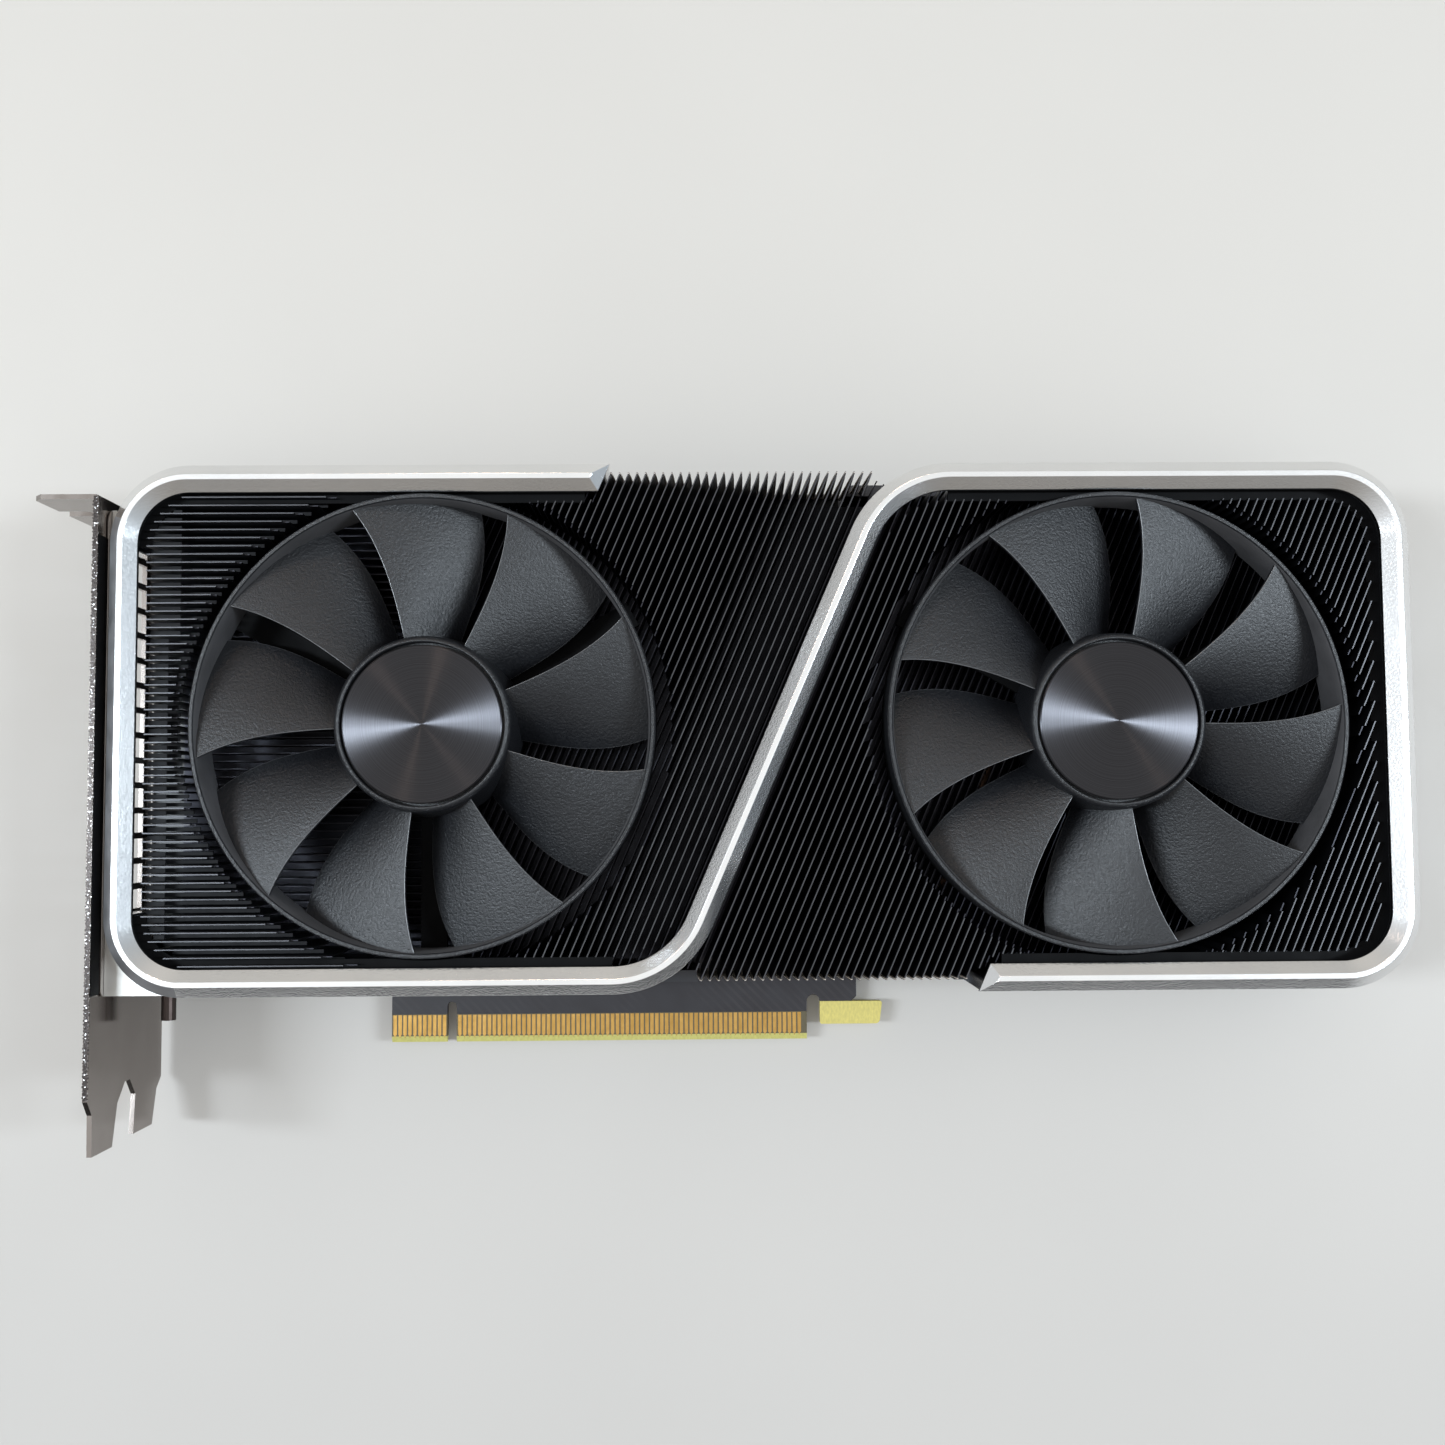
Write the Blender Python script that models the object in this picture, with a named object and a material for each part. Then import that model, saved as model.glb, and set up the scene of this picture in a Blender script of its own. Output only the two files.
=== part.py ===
"""Two-slot graphics card with two axial fans, lying on its back with the fans up.

Everything is laid out from the edge connector: X from its key notch, Y from the tips of
its contacts and Z from the surface that the back rests on.  The empty "card_datum" then
puts the middle of the card's footprint at the world origin.  All lengths are in metres.
"""
import math

import bmesh
import bpy
from mathutils import Matrix, Vector

GAP = 0.0003        # clearance between two pieces that touch
INSET = 0.0001      # keeps the faces of joined shapes from lying in one plane
HAIR = 0.00005      # the same, where less room is left
OVERCUT = 0.0010    # how far a cutting shape reaches past what it cuts
COVER_ALL = 0.0400  # height above everything, for shapes that trim others

# Front frame: one rail that runs round both fans and crosses the card between them
FRAME_LEFT = -0.0576
FRAME_RIGHT = 0.1828
FRAME_BOTTOM = 0.0134
FRAME_TOP = 0.1109
RAIL_WIDTH = 0.00505
RAIL_CHAMFER = 0.00205
RAIL_UNDERSIDE = 0.0333
RIDGE_HEIGHT = 0.0386
CORNER_RADIUS = 0.0120
BEND_RADIUS = 0.0177
RAIL_ARC_STEPS = 8
WALL_ARC_STEPS = 5     # differs from the rail's, so that their edges never meet
LEAN_ANGLE = math.radians(23.4)
LEAN = math.tan(LEAN_ANGLE)
DIAGONAL_FOOT = 0.0460
TOP_RAIL_END = 0.0332
BOTTOM_RAIL_END = 0.10245
WALL_THICKNESS = 0.0022
WALL_JOIN = 0.0010      # how far a side wall reaches up into the rail
WINDOW_MARGIN = 0.0145  # from the frame's edges to its window beside the bracket
WINDOW_HIGH = 0.0290
SPLIT_HEIGHT = 0.0180

# Rear frame and backplate
REAR_LEFT = -0.0587
REAR_CORNER = 0.0030
REAR_LIP_HEIGHT = 0.0023
REAR_CHAMFER = 0.0012
REAR_BAR_MIDDLE = 0.1070
REAR_BAR_LOW = 0.0003
REAR_BAR_HIGH = 0.0020
REAR_WALL_REACH = 0.0030        # depth of cuts through the wall behind the bracket
PANEL_OPENING = (0.0245, 0.1001)        # Y range of the opening behind the bracket
PANEL_OPENING_LOW = 0.0036
BOARD_SLOT_MARGIN = 0.0020
BOARD_SLOT_HIGH = 0.0046
BOTTOM_OPENING = (0.0500, 0.1000)       # X range of the opening in the bottom wall
TOP_OPENING = (0.0360, 0.0800)          # X range of the opening in the top wall
TOP_OPENING_LOW = 0.0040
BACKPLATE_LOW = 0.0010
BACKPLATE_HIGH = 0.0020
BACKPLATE_CLEARANCE = 0.0012
BACKPLATE_CORNER = 0.0010
BACKPLATE_SCREW_REACH = 0.0600
BACKPLATE_HOLE_RADIUS = 0.0013
BACKPLATE_HEAD_RADIUS = 0.0021
BACKPLATE_STEM_RADIUS = 0.0010
BACKPLATE_HEAD_LOW = 0.0002
BACKPLATE_HEAD_HIGH = 0.0007
BACKPLATE_STEM_HIGH = 0.0023

# Circuit board and edge connector
BOARD_LOW = 0.0026
BOARD_HIGH = 0.0042
BOARD_LEFT = -0.0560
BOARD_RIGHT = 0.0823
BOARD_BOTTOM = 0.0162
BOARD_TOP = 0.1060
TONGUE_LEFT = -0.01215
TONGUE_RIGHT = 0.07215
KEY_WIDTH = 0.0019
KEY_HEIGHT = 0.0081
LATCH_LEFT = 0.0749
LATCH_RIGHT = 0.0876
LATCH_LOW = 0.0030
LATCH_HIGH = 0.0076
LATCH_CORNER = 0.0015
LATCH_SLOT_HIGH = 0.0089
LATCH_SLOT_SHOULDER = 0.0081
LATCH_SLOT_CORNER = 0.0008
BOARD_CORNER = 0.0030

# Parts on the board
PROCESSOR = Vector((0.0140, 0.0620))
SUBSTRATE_SIDE = 0.0400
DIE_SIZE = (0.0250, 0.0190)
CHIP_SIZE = (0.0120, 0.0140)
CHIP_PLACES = (
    (-0.018, 0.042), (-0.018, 0.062), (-0.018, 0.082), (0.004, 0.094),
    (0.024, 0.094), (0.046, 0.042), (0.046, 0.062), (0.046, 0.082),
)
CHOKE_SIDE = 0.0074
CHOKE_COLUMN = 0.0620
CHOKE_ROWS = (0.034, 0.048, 0.062, 0.076)
CAPACITOR_RADIUS = 0.0031
CAPACITOR_COLUMN = 0.0730
CAPACITOR_ROWS = (0.048, 0.062)
COMPONENT_SEAT = BOARD_HIGH + GAP
PACKAGE_TOP = 0.0057
PACKAGE_BEVEL = 0.0002
DIE_LOW = 0.0060
DIE_HIGH = 0.0068
CHOKE_TOP = 0.0082
CAPACITOR_TOP = 0.0096
CAPACITOR_ROUND = 0.0004

# Heat sink
COLD_PLATE_LOW = 0.0071
COLD_PLATE_HIGH = 0.0101
COLD_PLATE_SIZE = (0.0840, 0.0620)
COLD_PLATE_CORNER = 0.0030
PIPE_WIDTH = 0.0060
PIPE_LOW = 0.0104
PIPE_HIGH = 0.0134
PIPE_CORNER = 0.0009
PIPE_COUNT = 4
PIPE_START = -0.0380
PIPE_SPREAD_START = 0.0520
PIPE_SPREAD_END = 0.0940
PIPE_BEND_RADIUS = 0.0300
PIPE_END = 0.1680
PIPE_SPREAD = 0.0080
PIPE_FAR_SPREAD = 0.0190
FIN_BASE_LOW = 0.0137
FIN_BASE_HIGH = 0.0146
FIN_TOP = 0.0355
FIN_THICKNESS = 0.0012
ROW_PITCH = 0.0045
ROW_COUNT = 19
LEAN_PITCH = 0.00486
FIN_LEFT = -0.0513
FIN_LOW_EDGE = 0.0165
FIN_HIGH_EDGE = 0.1078
STACK_SPLIT = 0.1110
REAR_FIN_TOP = 0.0101
REAR_FIN_BASE = 0.0092
STACK_TRIM_LOW = 0.0010
ROW_TRIM_LOW = 0.0100

# Fans, with heights above the card's resting plane
LEFT_FAN = Vector((-0.0001, 0.0628, 0.0))
RIGHT_FAN = Vector((0.1280, 0.0627, 0.0))
RIGHT_FAN_TURN = math.radians(-24.2)
BLADE_COUNT = 9
RING_RADIUS = 0.04275
RING_THICKNESS = 0.0013
RING_LOW = 0.0275
RING_HIGH = 0.0370
HUB_RADIUS = 0.01635
HUB_WALL = 0.0014
HUB_LOW = 0.0250
HUB_FLOOR_LOW = 0.0348
HUB_FLOOR_HIGH = 0.0360
HUB_RIM = 0.0372
CAP_RADIUS = 0.0146
SHAFT_RADIUS = 0.0014
POCKET_RADIUS = 0.0443
POCKET_FLOOR = 0.0220
FAN_BASE_LOW = 0.0224
FAN_BASE_HIGH = 0.0238
FAN_BASE_RADIUS = 0.0150
ARM_WIDTH = 0.0050
ARM_REACH = 0.0438
ARM_START = 0.0100
ARM_COUNT = 3
BLADE_LEAD_ANGLE = math.radians(22.7)    # of the leading edge, at the hub
BLADE_LEAD_GAIN = math.radians(5.7)      # how much more it is at the ring
BLADE_LEAD_POWER = 2.3
BLADE_SWEEP = math.radians(31.5)         # from the leading to the trailing edge
BLADE_HIGH = 0.0358
BLADE_HIGH_GAIN = 0.0006
BLADE_DROP = 0.0088                      # of the trailing edge under the leading edge
BLADE_DROP_LOSS = 0.0016
BLADE_THICKNESS = 0.0011
BLADE_RADIAL_STEPS = 4
BLADE_CHORD_STEPS = 3
POLE_COUNT = 9
POLE_ROOT = 0.0070
POLE_NECK = 0.0104
POLE_TIP = 0.0120
STATOR_LOW = 0.0243
STATOR_HIGH = 0.0310
STATOR_BORE = 0.0034
BEARING_RADIUS = 0.0031
BEARING_LOW = 0.0242
BEARING_HIGH = 0.0335
CAP_TOP = 0.0371
CAP_BEVEL = 0.0002
SHAFT_LOW = 0.0246
MAGNET_INNER = 0.0126
MAGNET_LOW = 0.0254
MAGNET_HIGH = 0.0330
LEAD_RADIUS = 0.0008
LEAD_OFFSET = 0.0040
LEAD_DROP = 0.0180
LEAD_CHANNEL_HALF = 0.0022
LEAD_CHANNEL_DEPTH = 0.0040
LEAD_CHANNEL_LOW = 0.0120
LEAD_LEVEL = 0.0119
HEADER_TOP = 0.0088
HEADER_HALF = 0.0030
HEADER_BEFORE = 0.0017
HEADER_AFTER = 0.0022
RIGHT_HEADER_X = 0.0745

# Bracket
BRACKET_INNER = -0.0592
BRACKET_THICKNESS = 0.0009
BRACKET_NEAR = 0.0382
BRACKET_FAR = 0.0027
BRACKET_TOP = 0.1053
BRACKET_STEP = 0.0002     # height of the tab's upper face above the plate's end
TAB_END = -0.0713
TAB_LOW = 0.0060
TAB_CORNER = 0.0016
TAB_LOW_CORNER = (0.0030, 0.0040)
SLOT_DEPTH = 0.0040
BRACKET_SCREW_ROWS = (0.0217, 0.1020)
BRACKET_SCREW_HEIGHT = 0.0100
SCREW_HOLE_RADIUS = 0.0016
SCREW_RADIUS = 0.0013
SCREW_HEAD_RADIUS = 0.0020
SCREW_HEAD_HEIGHT = 0.0014
FLANGE_TOP = 0.1033
FLANGE_STRIP_LOW = 0.0295
FLANGE_OVERLAP = 0.0020
POST_RADIUS = 0.0014
POST_LENGTH = 0.0066
POST_X = -0.0533
POST_HEIGHT = 0.0152
SCREW_SLOT_WIDTH = 0.00442
SCREW_SLOT_HEIGHT = 0.0246
TONGUE_TIP = -0.0152
TONGUE_FORK = -0.0042
VENT_COUNT = 14
VENT_PITCH = 0.0049
VENT_WIDTH = 0.0037
VENT_FIRST = 0.0302
VENT_LOW = 0.0145
VENT_HIGH = 0.0325
SOCKET_PITCH = 0.0195
SOCKET_FIRST = 0.0336
SOCKET_SIZES = (0.0170, 0.0170, 0.0170, 0.0154)
SOCKET_HEIGHT = 0.0060
SOCKET_DEPTH = 0.0150
SOCKET_WALL = 0.0009
SOCKET_CHAMFER = 0.0015
SOCKET_MOUTH_DEPTH = 0.0110
SOCKET_TONGUE = (0.0015, 0.0125)        # where its contact tongue starts and ends
SOCKET_TONGUE_HEIGHTS = (0.0026, 0.0036)
SOCKET_TONGUE_SHARE = 0.72

POWER_LEFT = 0.0600
POWER_WIDTH = 0.0190
POWER_HEIGHT = 0.0076
POWER_START = 0.0970
POWER_FACE = 0.1104
PIN_PITCH = 0.0030
PIN_SIDE = 0.0021
PIN_DEPTH = 0.0080
PIN_COLUMNS = 6
PIN_ROWS = 2

RAIL_LEFT = FRAME_LEFT + RAIL_WIDTH / 2
RAIL_RIGHT = FRAME_RIGHT - RAIL_WIDTH / 2
RAIL_BOTTOM = FRAME_BOTTOM + RAIL_WIDTH / 2
RAIL_TOP = FRAME_TOP - RAIL_WIDTH / 2
DIAGONAL_HEAD = DIAGONAL_FOOT + (RAIL_TOP - RAIL_BOTTOM) * LEAN
FOOTPRINT_MIDDLE = Vector(((TAB_END + FRAME_RIGHT) / 2, (TONGUE_TIP + FRAME_TOP) / 2, 0.0))


def clear_scene():
    for obj in list(bpy.data.objects):
        bpy.data.objects.remove(obj, do_unlink=True)


def material(name, colour, roughness, metallic):
    found = bpy.data.materials.get(name)
    if found:
        return found
    made = bpy.data.materials.new(name)
    made.use_nodes = True
    shader = made.node_tree.nodes["Principled BSDF"]
    shader.inputs["Base Color"].default_value = (*colour, 1.0)
    shader.inputs["Roughness"].default_value = roughness
    shader.inputs["Metallic"].default_value = metallic
    return made


def silver():
    return material("brushed_aluminium", (0.62, 0.63, 0.64), 0.32, 1.0)


def dark_metal():
    return material("anodised_aluminium", (0.06, 0.06, 0.065), 0.42, 0.9)


def black_plastic():
    return material("moulded_plastic", (0.022, 0.023, 0.026), 0.48, 0.0)


def nickel():
    return material("dark_nickel", (0.32, 0.30, 0.28), 0.22, 1.0)


def copper():
    return material("copper", (0.72, 0.42, 0.28), 0.30, 1.0)


def solder_mask():
    return material("solder_mask", (0.02, 0.021, 0.024), 0.42, 0.0)


def silicon():
    return material("chip_package", (0.03, 0.03, 0.03), 0.38, 0.0)


def steel():
    return material("steel", (0.45, 0.45, 0.46), 0.28, 1.0)


def object_from(name, bm):
    """Turn a bmesh into an object of the scene, with its faces pointing outwards."""
    bmesh.ops.recalc_face_normals(bm, faces=bm.faces)
    mesh = bpy.data.meshes.new(name)
    bm.to_mesh(mesh)
    bm.free()
    obj = bpy.data.objects.new(name, mesh)
    bpy.context.scene.collection.objects.link(obj)
    return obj


def boolean(obj, tool_bm, operation):
    """Join or cut an object with a tool, and keep the result as its mesh."""
    tool = object_from("tool", tool_bm)
    modifier = obj.modifiers.new("boolean", "BOOLEAN")
    modifier.solver = "EXACT"
    modifier.operation = operation
    modifier.object = tool
    graph = bpy.context.evaluated_depsgraph_get()
    result = bpy.data.meshes.new_from_object(obj.evaluated_get(graph))
    obj.modifiers.clear()
    obj.data = result
    bpy.data.objects.remove(tool, do_unlink=True)


def finish(obj, finish_material, parent, smooth=False):
    """Give a piece its material and its parent, and smooth shading if it is round."""
    obj.data.materials.clear()
    obj.data.materials.append(finish_material)
    if smooth:
        obj.data.shade_smooth()
        obj.data.set_sharp_from_angle(angle=math.radians(40))
    obj.parent = parent
    return obj


def rounded(corners, radii, steps, closed):
    """Points of a path through corners, each rounded with its own radius."""
    points = []
    count = len(corners)
    for index, (corner, radius) in enumerate(zip(corners, radii)):
        here = Vector(corner)
        is_end = not closed and index in (0, count - 1)
        if radius == 0 or is_end:
            points.append(here)
            continue
        inward = (Vector(corners[index - 1]) - here).normalized()
        onward = (Vector(corners[(index + 1) % count]) - here).normalized()
        half = inward.angle(onward) / 2
        centre = here + (inward + onward).normalized() * radius / math.sin(half)
        spoke = here + inward * radius / math.tan(half) - centre
        turn = math.copysign(math.pi - 2 * half, inward.y * onward.x - inward.x * onward.y)
        for step in range(steps + 1):
            points.append(centre + Matrix.Rotation(turn * step / steps, 2) @ spoke)
    return points


def rectangle(left, right, low, high):
    return [(left, low), (right, low), (right, high), (left, high)]


def add_prism(bm, outline, low, high, axis="Z"):
    """Extrude a flat outline; the axis is the one that low and high are measured along."""
    def place(point, level):
        first, second = point
        if axis == "X":
            return (level, first, second)
        if axis == "Y":
            return (first, level, second)
        return (first, second, level)

    bottom = [bm.verts.new(place(point, low)) for point in outline]
    top = [bm.verts.new(place(point, high)) for point in outline]
    bm.faces.new(bottom)
    bm.faces.new(top)
    for index in range(len(outline)):
        after = (index + 1) % len(outline)
        bm.faces.new((bottom[index], bottom[after], top[after], top[index]))


def prism(outline, low, high, axis="Z"):
    bm = bmesh.new()
    add_prism(bm, outline, low, high, axis)
    return bm


def block(left, right, low_y, high_y, low_z, high_z):
    return prism(rectangle(left, right, low_y, high_y), low_z, high_z)


def turned(profile, segments):
    """Solid of revolution about Z of a closed profile of (radius, height) points."""
    bm = bmesh.new()
    rings = []
    for radius, height in profile:
        spokes = segments if radius > 0 else 1
        angles = [2 * math.pi * index / spokes for index in range(spokes)]
        places = [(radius * math.cos(a), radius * math.sin(a), height) for a in angles]
        rings.append([bm.verts.new(place) for place in places])
    for lower, upper in zip(rings, rings[1:] + rings[:1]):
        if len(lower) == 1 and len(upper) == 1:
            continue
        for index in range(segments):
            after = (index + 1) % segments
            corners = [lower[index % len(lower)], lower[after % len(lower)],
                       upper[after % len(upper)], upper[index % len(upper)]]
            bm.faces.new(list(dict.fromkeys(corners)))
    return bm


def cylinder(radius, low, high, segments):
    return turned([(0, low), (radius, low), (radius, high), (0, high)], segments)


def sweep(path, profile, closed=False):
    """Carry a profile of (left of travel, height) points along a flat path."""
    bm = bmesh.new()
    rows = []
    count = len(path)
    for index, point in enumerate(path):
        before = path[index - 1] if closed or index else point
        after = path[(index + 1) % count] if closed or index < count - 1 else point
        inward = (point - before).normalized() if before != point else None
        onward = (after - point).normalized() if after != point else None
        inward = inward or onward
        onward = onward or inward
        tangent = (inward + onward).normalized()
        left = Vector((-tangent.y, tangent.x)) / tangent.dot(onward)
        places = [(*(point + left * side), height) for side, height in profile]
        rows.append([bm.verts.new(place) for place in places])
    spans = zip(rows, rows[1:] + rows[:1]) if closed else zip(rows, rows[1:])
    size = len(profile)
    for row, following in spans:
        for index in range(size):
            after = (index + 1) % size
            bm.faces.new((row[index], row[after], following[after], following[index]))
    if not closed:
        bm.faces.new(rows[0])
        bm.faces.new(rows[-1])
    return bm, rows


def empty(name, location, parent):
    obj = bpy.data.objects.new(name, None)
    bpy.context.scene.collection.objects.link(obj)
    obj.location = location
    obj.parent = parent
    return obj


# ---------------------------------------------------------------- frame and covers

def rail_path(arc_steps):
    """Middle line of the front rail: left loop, diagonal, right loop."""
    corners = [
        (TOP_RAIL_END, RAIL_TOP), (RAIL_LEFT, RAIL_TOP), (RAIL_LEFT, RAIL_BOTTOM),
        (DIAGONAL_FOOT, RAIL_BOTTOM), (DIAGONAL_HEAD, RAIL_TOP), (RAIL_RIGHT, RAIL_TOP),
        (RAIL_RIGHT, RAIL_BOTTOM), (BOTTOM_RAIL_END, RAIL_BOTTOM),
    ]
    radii = [0, CORNER_RADIUS, CORNER_RADIUS, BEND_RADIUS, BEND_RADIUS,
             CORNER_RADIUS, CORNER_RADIUS, 0]
    return rounded(corners, radii, arc_steps, closed=False)


def slant_end(row, end_x, middle_y, setback):
    """Cut a rail's end parallel to the diagonal, with the ridge set back from the cut."""
    for vert in row:
        vert.co.x = end_x + (vert.co.y - middle_y) * LEAN
        if vert.co.z > RIDGE_HEIGHT - GAP:
            vert.co.x += setback


def rail_wall(path, side, start_end, last_end):
    """Side wall under a stretch of the rail, on its left (1) or its right (-1)."""
    outer = side * (RAIL_WIDTH / 2 - INSET)
    inner = side * (RAIL_WIDTH / 2 - WALL_THICKNESS)
    low = SPLIT_HEIGHT + GAP
    high = RAIL_UNDERSIDE + WALL_JOIN
    bm, rows = sweep(path, [(outer, low), (inner, low), (inner, high), (outer, high)])
    if start_end:
        slant_end(rows[0], TOP_RAIL_END - GAP, RAIL_TOP, 0)
    if last_end:
        slant_end(rows[-1], BOTTOM_RAIL_END + GAP, RAIL_BOTTOM, 0)
    return bm


def front_frame(parent):
    half = RAIL_WIDTH / 2
    ridge = half - RAIL_CHAMFER
    shoulder = RIDGE_HEIGHT - RAIL_CHAMFER
    profile = [(-half, RAIL_UNDERSIDE), (-half, shoulder), (-ridge, RIDGE_HEIGHT),
               (ridge, RIDGE_HEIGHT), (half, shoulder), (half, RAIL_UNDERSIDE)]
    bm, rows = sweep(rail_path(RAIL_ARC_STEPS), profile)
    setback = RAIL_CHAMFER / math.cos(LEAN_ANGLE)
    slant_end(rows[0], TOP_RAIL_END, RAIL_TOP, -setback)
    slant_end(rows[-1], BOTTOM_RAIL_END, RAIL_BOTTOM, setback)
    obj = object_from("front_frame", bm)
    bend_reach = BEND_RADIUS * math.tan((math.pi / 2 - LEAN_ANGLE) / 2) + OVERCUT
    path = rail_path(WALL_ARC_STEPS)
    corner_points = 2 * (WALL_ARC_STEPS + 1) + 1
    left_stretch = path[:corner_points] + [Vector((DIAGONAL_FOOT - bend_reach, RAIL_BOTTOM))]
    right_stretch = [Vector((DIAGONAL_HEAD + bend_reach, RAIL_TOP))] + path[-corner_points:]
    boolean(obj, rail_wall(left_stretch, -1, True, False), "UNION")
    boolean(obj, rail_wall(right_stretch, 1, False, True), "UNION")
    window = block(FRAME_LEFT - GAP, RAIL_LEFT + OVERCUT, FRAME_BOTTOM + WINDOW_MARGIN,
                   FRAME_TOP - WINDOW_MARGIN, SPLIT_HEIGHT, WINDOW_HIGH)
    boolean(obj, window, "DIFFERENCE")
    return finish(obj, silver(), parent)


def rear_frame(parent):
    half = RAIL_WIDTH / 2
    wall = half - WALL_THICKNESS
    profile = [(-half, REAR_CHAMFER), (-half + REAR_CHAMFER, 0.0), (half, 0.0),
               (half, REAR_LIP_HEIGHT), (-wall, REAR_LIP_HEIGHT), (-wall, SPLIT_HEIGHT),
               (-half, SPLIT_HEIGHT)]
    corners = rectangle(REAR_LEFT + half, RAIL_RIGHT, RAIL_BOTTOM, RAIL_TOP)
    radii = [REAR_CORNER, CORNER_RADIUS, CORNER_RADIUS, REAR_CORNER]
    bm, _ = sweep(rounded(corners, radii, 5, closed=True), profile, closed=True)
    obj = object_from("rear_frame", bm)
    foot = REAR_BAR_MIDDLE - (LEFT_FAN.y - RAIL_BOTTOM) * LEAN
    head = REAR_BAR_MIDDLE + (RAIL_TOP - LEFT_FAN.y) * LEAN
    bar = prism([(foot - half, RAIL_BOTTOM), (foot + half, RAIL_BOTTOM),
                 (head + half, RAIL_TOP), (head - half, RAIL_TOP)],
                REAR_BAR_LOW, REAR_BAR_HIGH)
    boolean(obj, bar, "UNION")
    above_lip = REAR_LIP_HEIGHT - HAIR
    over_top = SPLIT_HEIGHT + OVERCUT
    outside = FRAME_BOTTOM - OVERCUT
    inside = FRAME_BOTTOM + WALL_THICKNESS + OVERCUT
    top_inside = FRAME_TOP - WALL_THICKNESS - OVERCUT
    before_wall = REAR_LEFT - OVERCUT
    behind_wall = REAR_LEFT + REAR_WALL_REACH
    openings = (
        (before_wall, behind_wall, *PANEL_OPENING, PANEL_OPENING_LOW, over_top),
        (TONGUE_LEFT - BOARD_SLOT_MARGIN, BOARD_RIGHT + BOARD_SLOT_MARGIN, outside, inside,
         above_lip, BOARD_SLOT_HIGH),
        (*BOTTOM_OPENING, outside, inside, above_lip, over_top),
        (*TOP_OPENING, top_inside, FRAME_TOP + OVERCUT, TOP_OPENING_LOW, over_top),
    )
    for opening in openings:
        boolean(obj, block(*opening), "DIFFERENCE")
    for row in BRACKET_SCREW_ROWS:
        boolean(obj, along_x(SCREW_HOLE_RADIUS, before_wall, behind_wall, row), "DIFFERENCE")
    return finish(obj, dark_metal(), parent)


def along_x(radius, start, end, y):
    """Cylinder along X at the height of the bracket's screws, for them and their holes."""
    bm = cylinder(radius, start, end, 16)
    turn = (Matrix.Translation((0, y, BRACKET_SCREW_HEIGHT))
            @ Matrix.Rotation(math.pi / 2, 4, "Y"))
    bmesh.ops.transform(bm, matrix=turn, verts=bm.verts)
    return bm


def backplate(parent):
    inset = RAIL_WIDTH + GAP
    low = FRAME_BOTTOM + inset
    high = FRAME_TOP - inset
    edge = REAR_BAR_MIDDLE - RAIL_WIDTH / 2 - BACKPLATE_CLEARANCE
    corners = [(REAR_LEFT + inset, low), (edge + (low - LEFT_FAN.y) * LEAN, low),
               (edge + (high - LEFT_FAN.y) * LEAN, high), (REAR_LEFT + inset, high)]
    outline = rounded(corners, [BACKPLATE_CORNER] * 4, 2, closed=True)
    obj = object_from("backplate", prism(outline, BACKPLATE_LOW, BACKPLATE_HIGH))
    for x, y in backplate_screw_places():
        hole = cylinder(BACKPLATE_HOLE_RADIUS, 0.0, BACKPLATE_HIGH + OVERCUT, 16)
        bmesh.ops.translate(hole, verts=hole.verts, vec=(x, y, 0))
        boolean(obj, hole, "DIFFERENCE")
    return finish(obj, dark_metal(), parent)


def backplate_screw_places():
    return ((PROCESSOR.x - BACKPLATE_SCREW_REACH, LEFT_FAN.y),
            (PROCESSOR.x + BACKPLATE_SCREW_REACH, LEFT_FAN.y))


def backplate_screws(parent):
    head = [(0, BACKPLATE_HEAD_LOW), (BACKPLATE_HEAD_RADIUS, BACKPLATE_HEAD_LOW),
            (BACKPLATE_HEAD_RADIUS, BACKPLATE_HEAD_HIGH),
            (BACKPLATE_STEM_RADIUS, BACKPLATE_HEAD_HIGH),
            (BACKPLATE_STEM_RADIUS, BACKPLATE_STEM_HIGH), (0, BACKPLATE_STEM_HIGH)]
    for number, place in enumerate(backplate_screw_places(), 1):
        obj = object_from(f"backplate_screw_{number}", turned(head, 16))
        obj.location = (*place, 0)
        finish(obj, steel(), parent, smooth=True)


# ---------------------------------------------------------------- circuit board

def board_outline():
    key = KEY_WIDTH / 2
    return [
        (BOARD_LEFT, BOARD_BOTTOM + BOARD_CORNER), (BOARD_LEFT + BOARD_CORNER, BOARD_BOTTOM),
        (TONGUE_LEFT, BOARD_BOTTOM), (TONGUE_LEFT, 0.0),
        (-key, 0.0), (-key, KEY_HEIGHT - key), (-key / 2, KEY_HEIGHT), (key / 2, KEY_HEIGHT),
        (key, KEY_HEIGHT - key), (key, 0.0), (TONGUE_RIGHT, 0.0),
        (TONGUE_RIGHT, LATCH_SLOT_SHOULDER),
        (TONGUE_RIGHT + LATCH_SLOT_CORNER, LATCH_SLOT_HIGH),
        (LATCH_LEFT - LATCH_SLOT_CORNER, LATCH_SLOT_HIGH), (LATCH_LEFT, LATCH_SLOT_SHOULDER),
        (LATCH_LEFT, LATCH_LOW), (LATCH_RIGHT - LATCH_CORNER, LATCH_LOW),
        (LATCH_RIGHT, LATCH_LOW + LATCH_CORNER), (LATCH_RIGHT, LATCH_HIGH),
        (BOARD_RIGHT, LATCH_HIGH), (BOARD_RIGHT, BOARD_TOP), (BOARD_LEFT, BOARD_TOP),
    ]


def circuit_board(parent):
    obj = object_from("circuit_board", prism(board_outline(), BOARD_LOW, BOARD_HIGH))
    return finish(obj, solder_mask(), parent)


def package(name, centre, size, low, high, made_of, parent):
    """Low rectangular component with a small bevel round its top."""
    width, depth = size
    bm = block(-width / 2, width / 2, -depth / 2, depth / 2, low, high)
    top = [edge for edge in bm.edges if all(v.co.z > (low + high) / 2 for v in edge.verts)]
    bmesh.ops.bevel(bm, geom=top, offset=PACKAGE_BEVEL, segments=1, affect="EDGES")
    obj = object_from(name, bm)
    obj.location = (*centre, 0)
    return finish(obj, made_of, parent)


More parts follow.
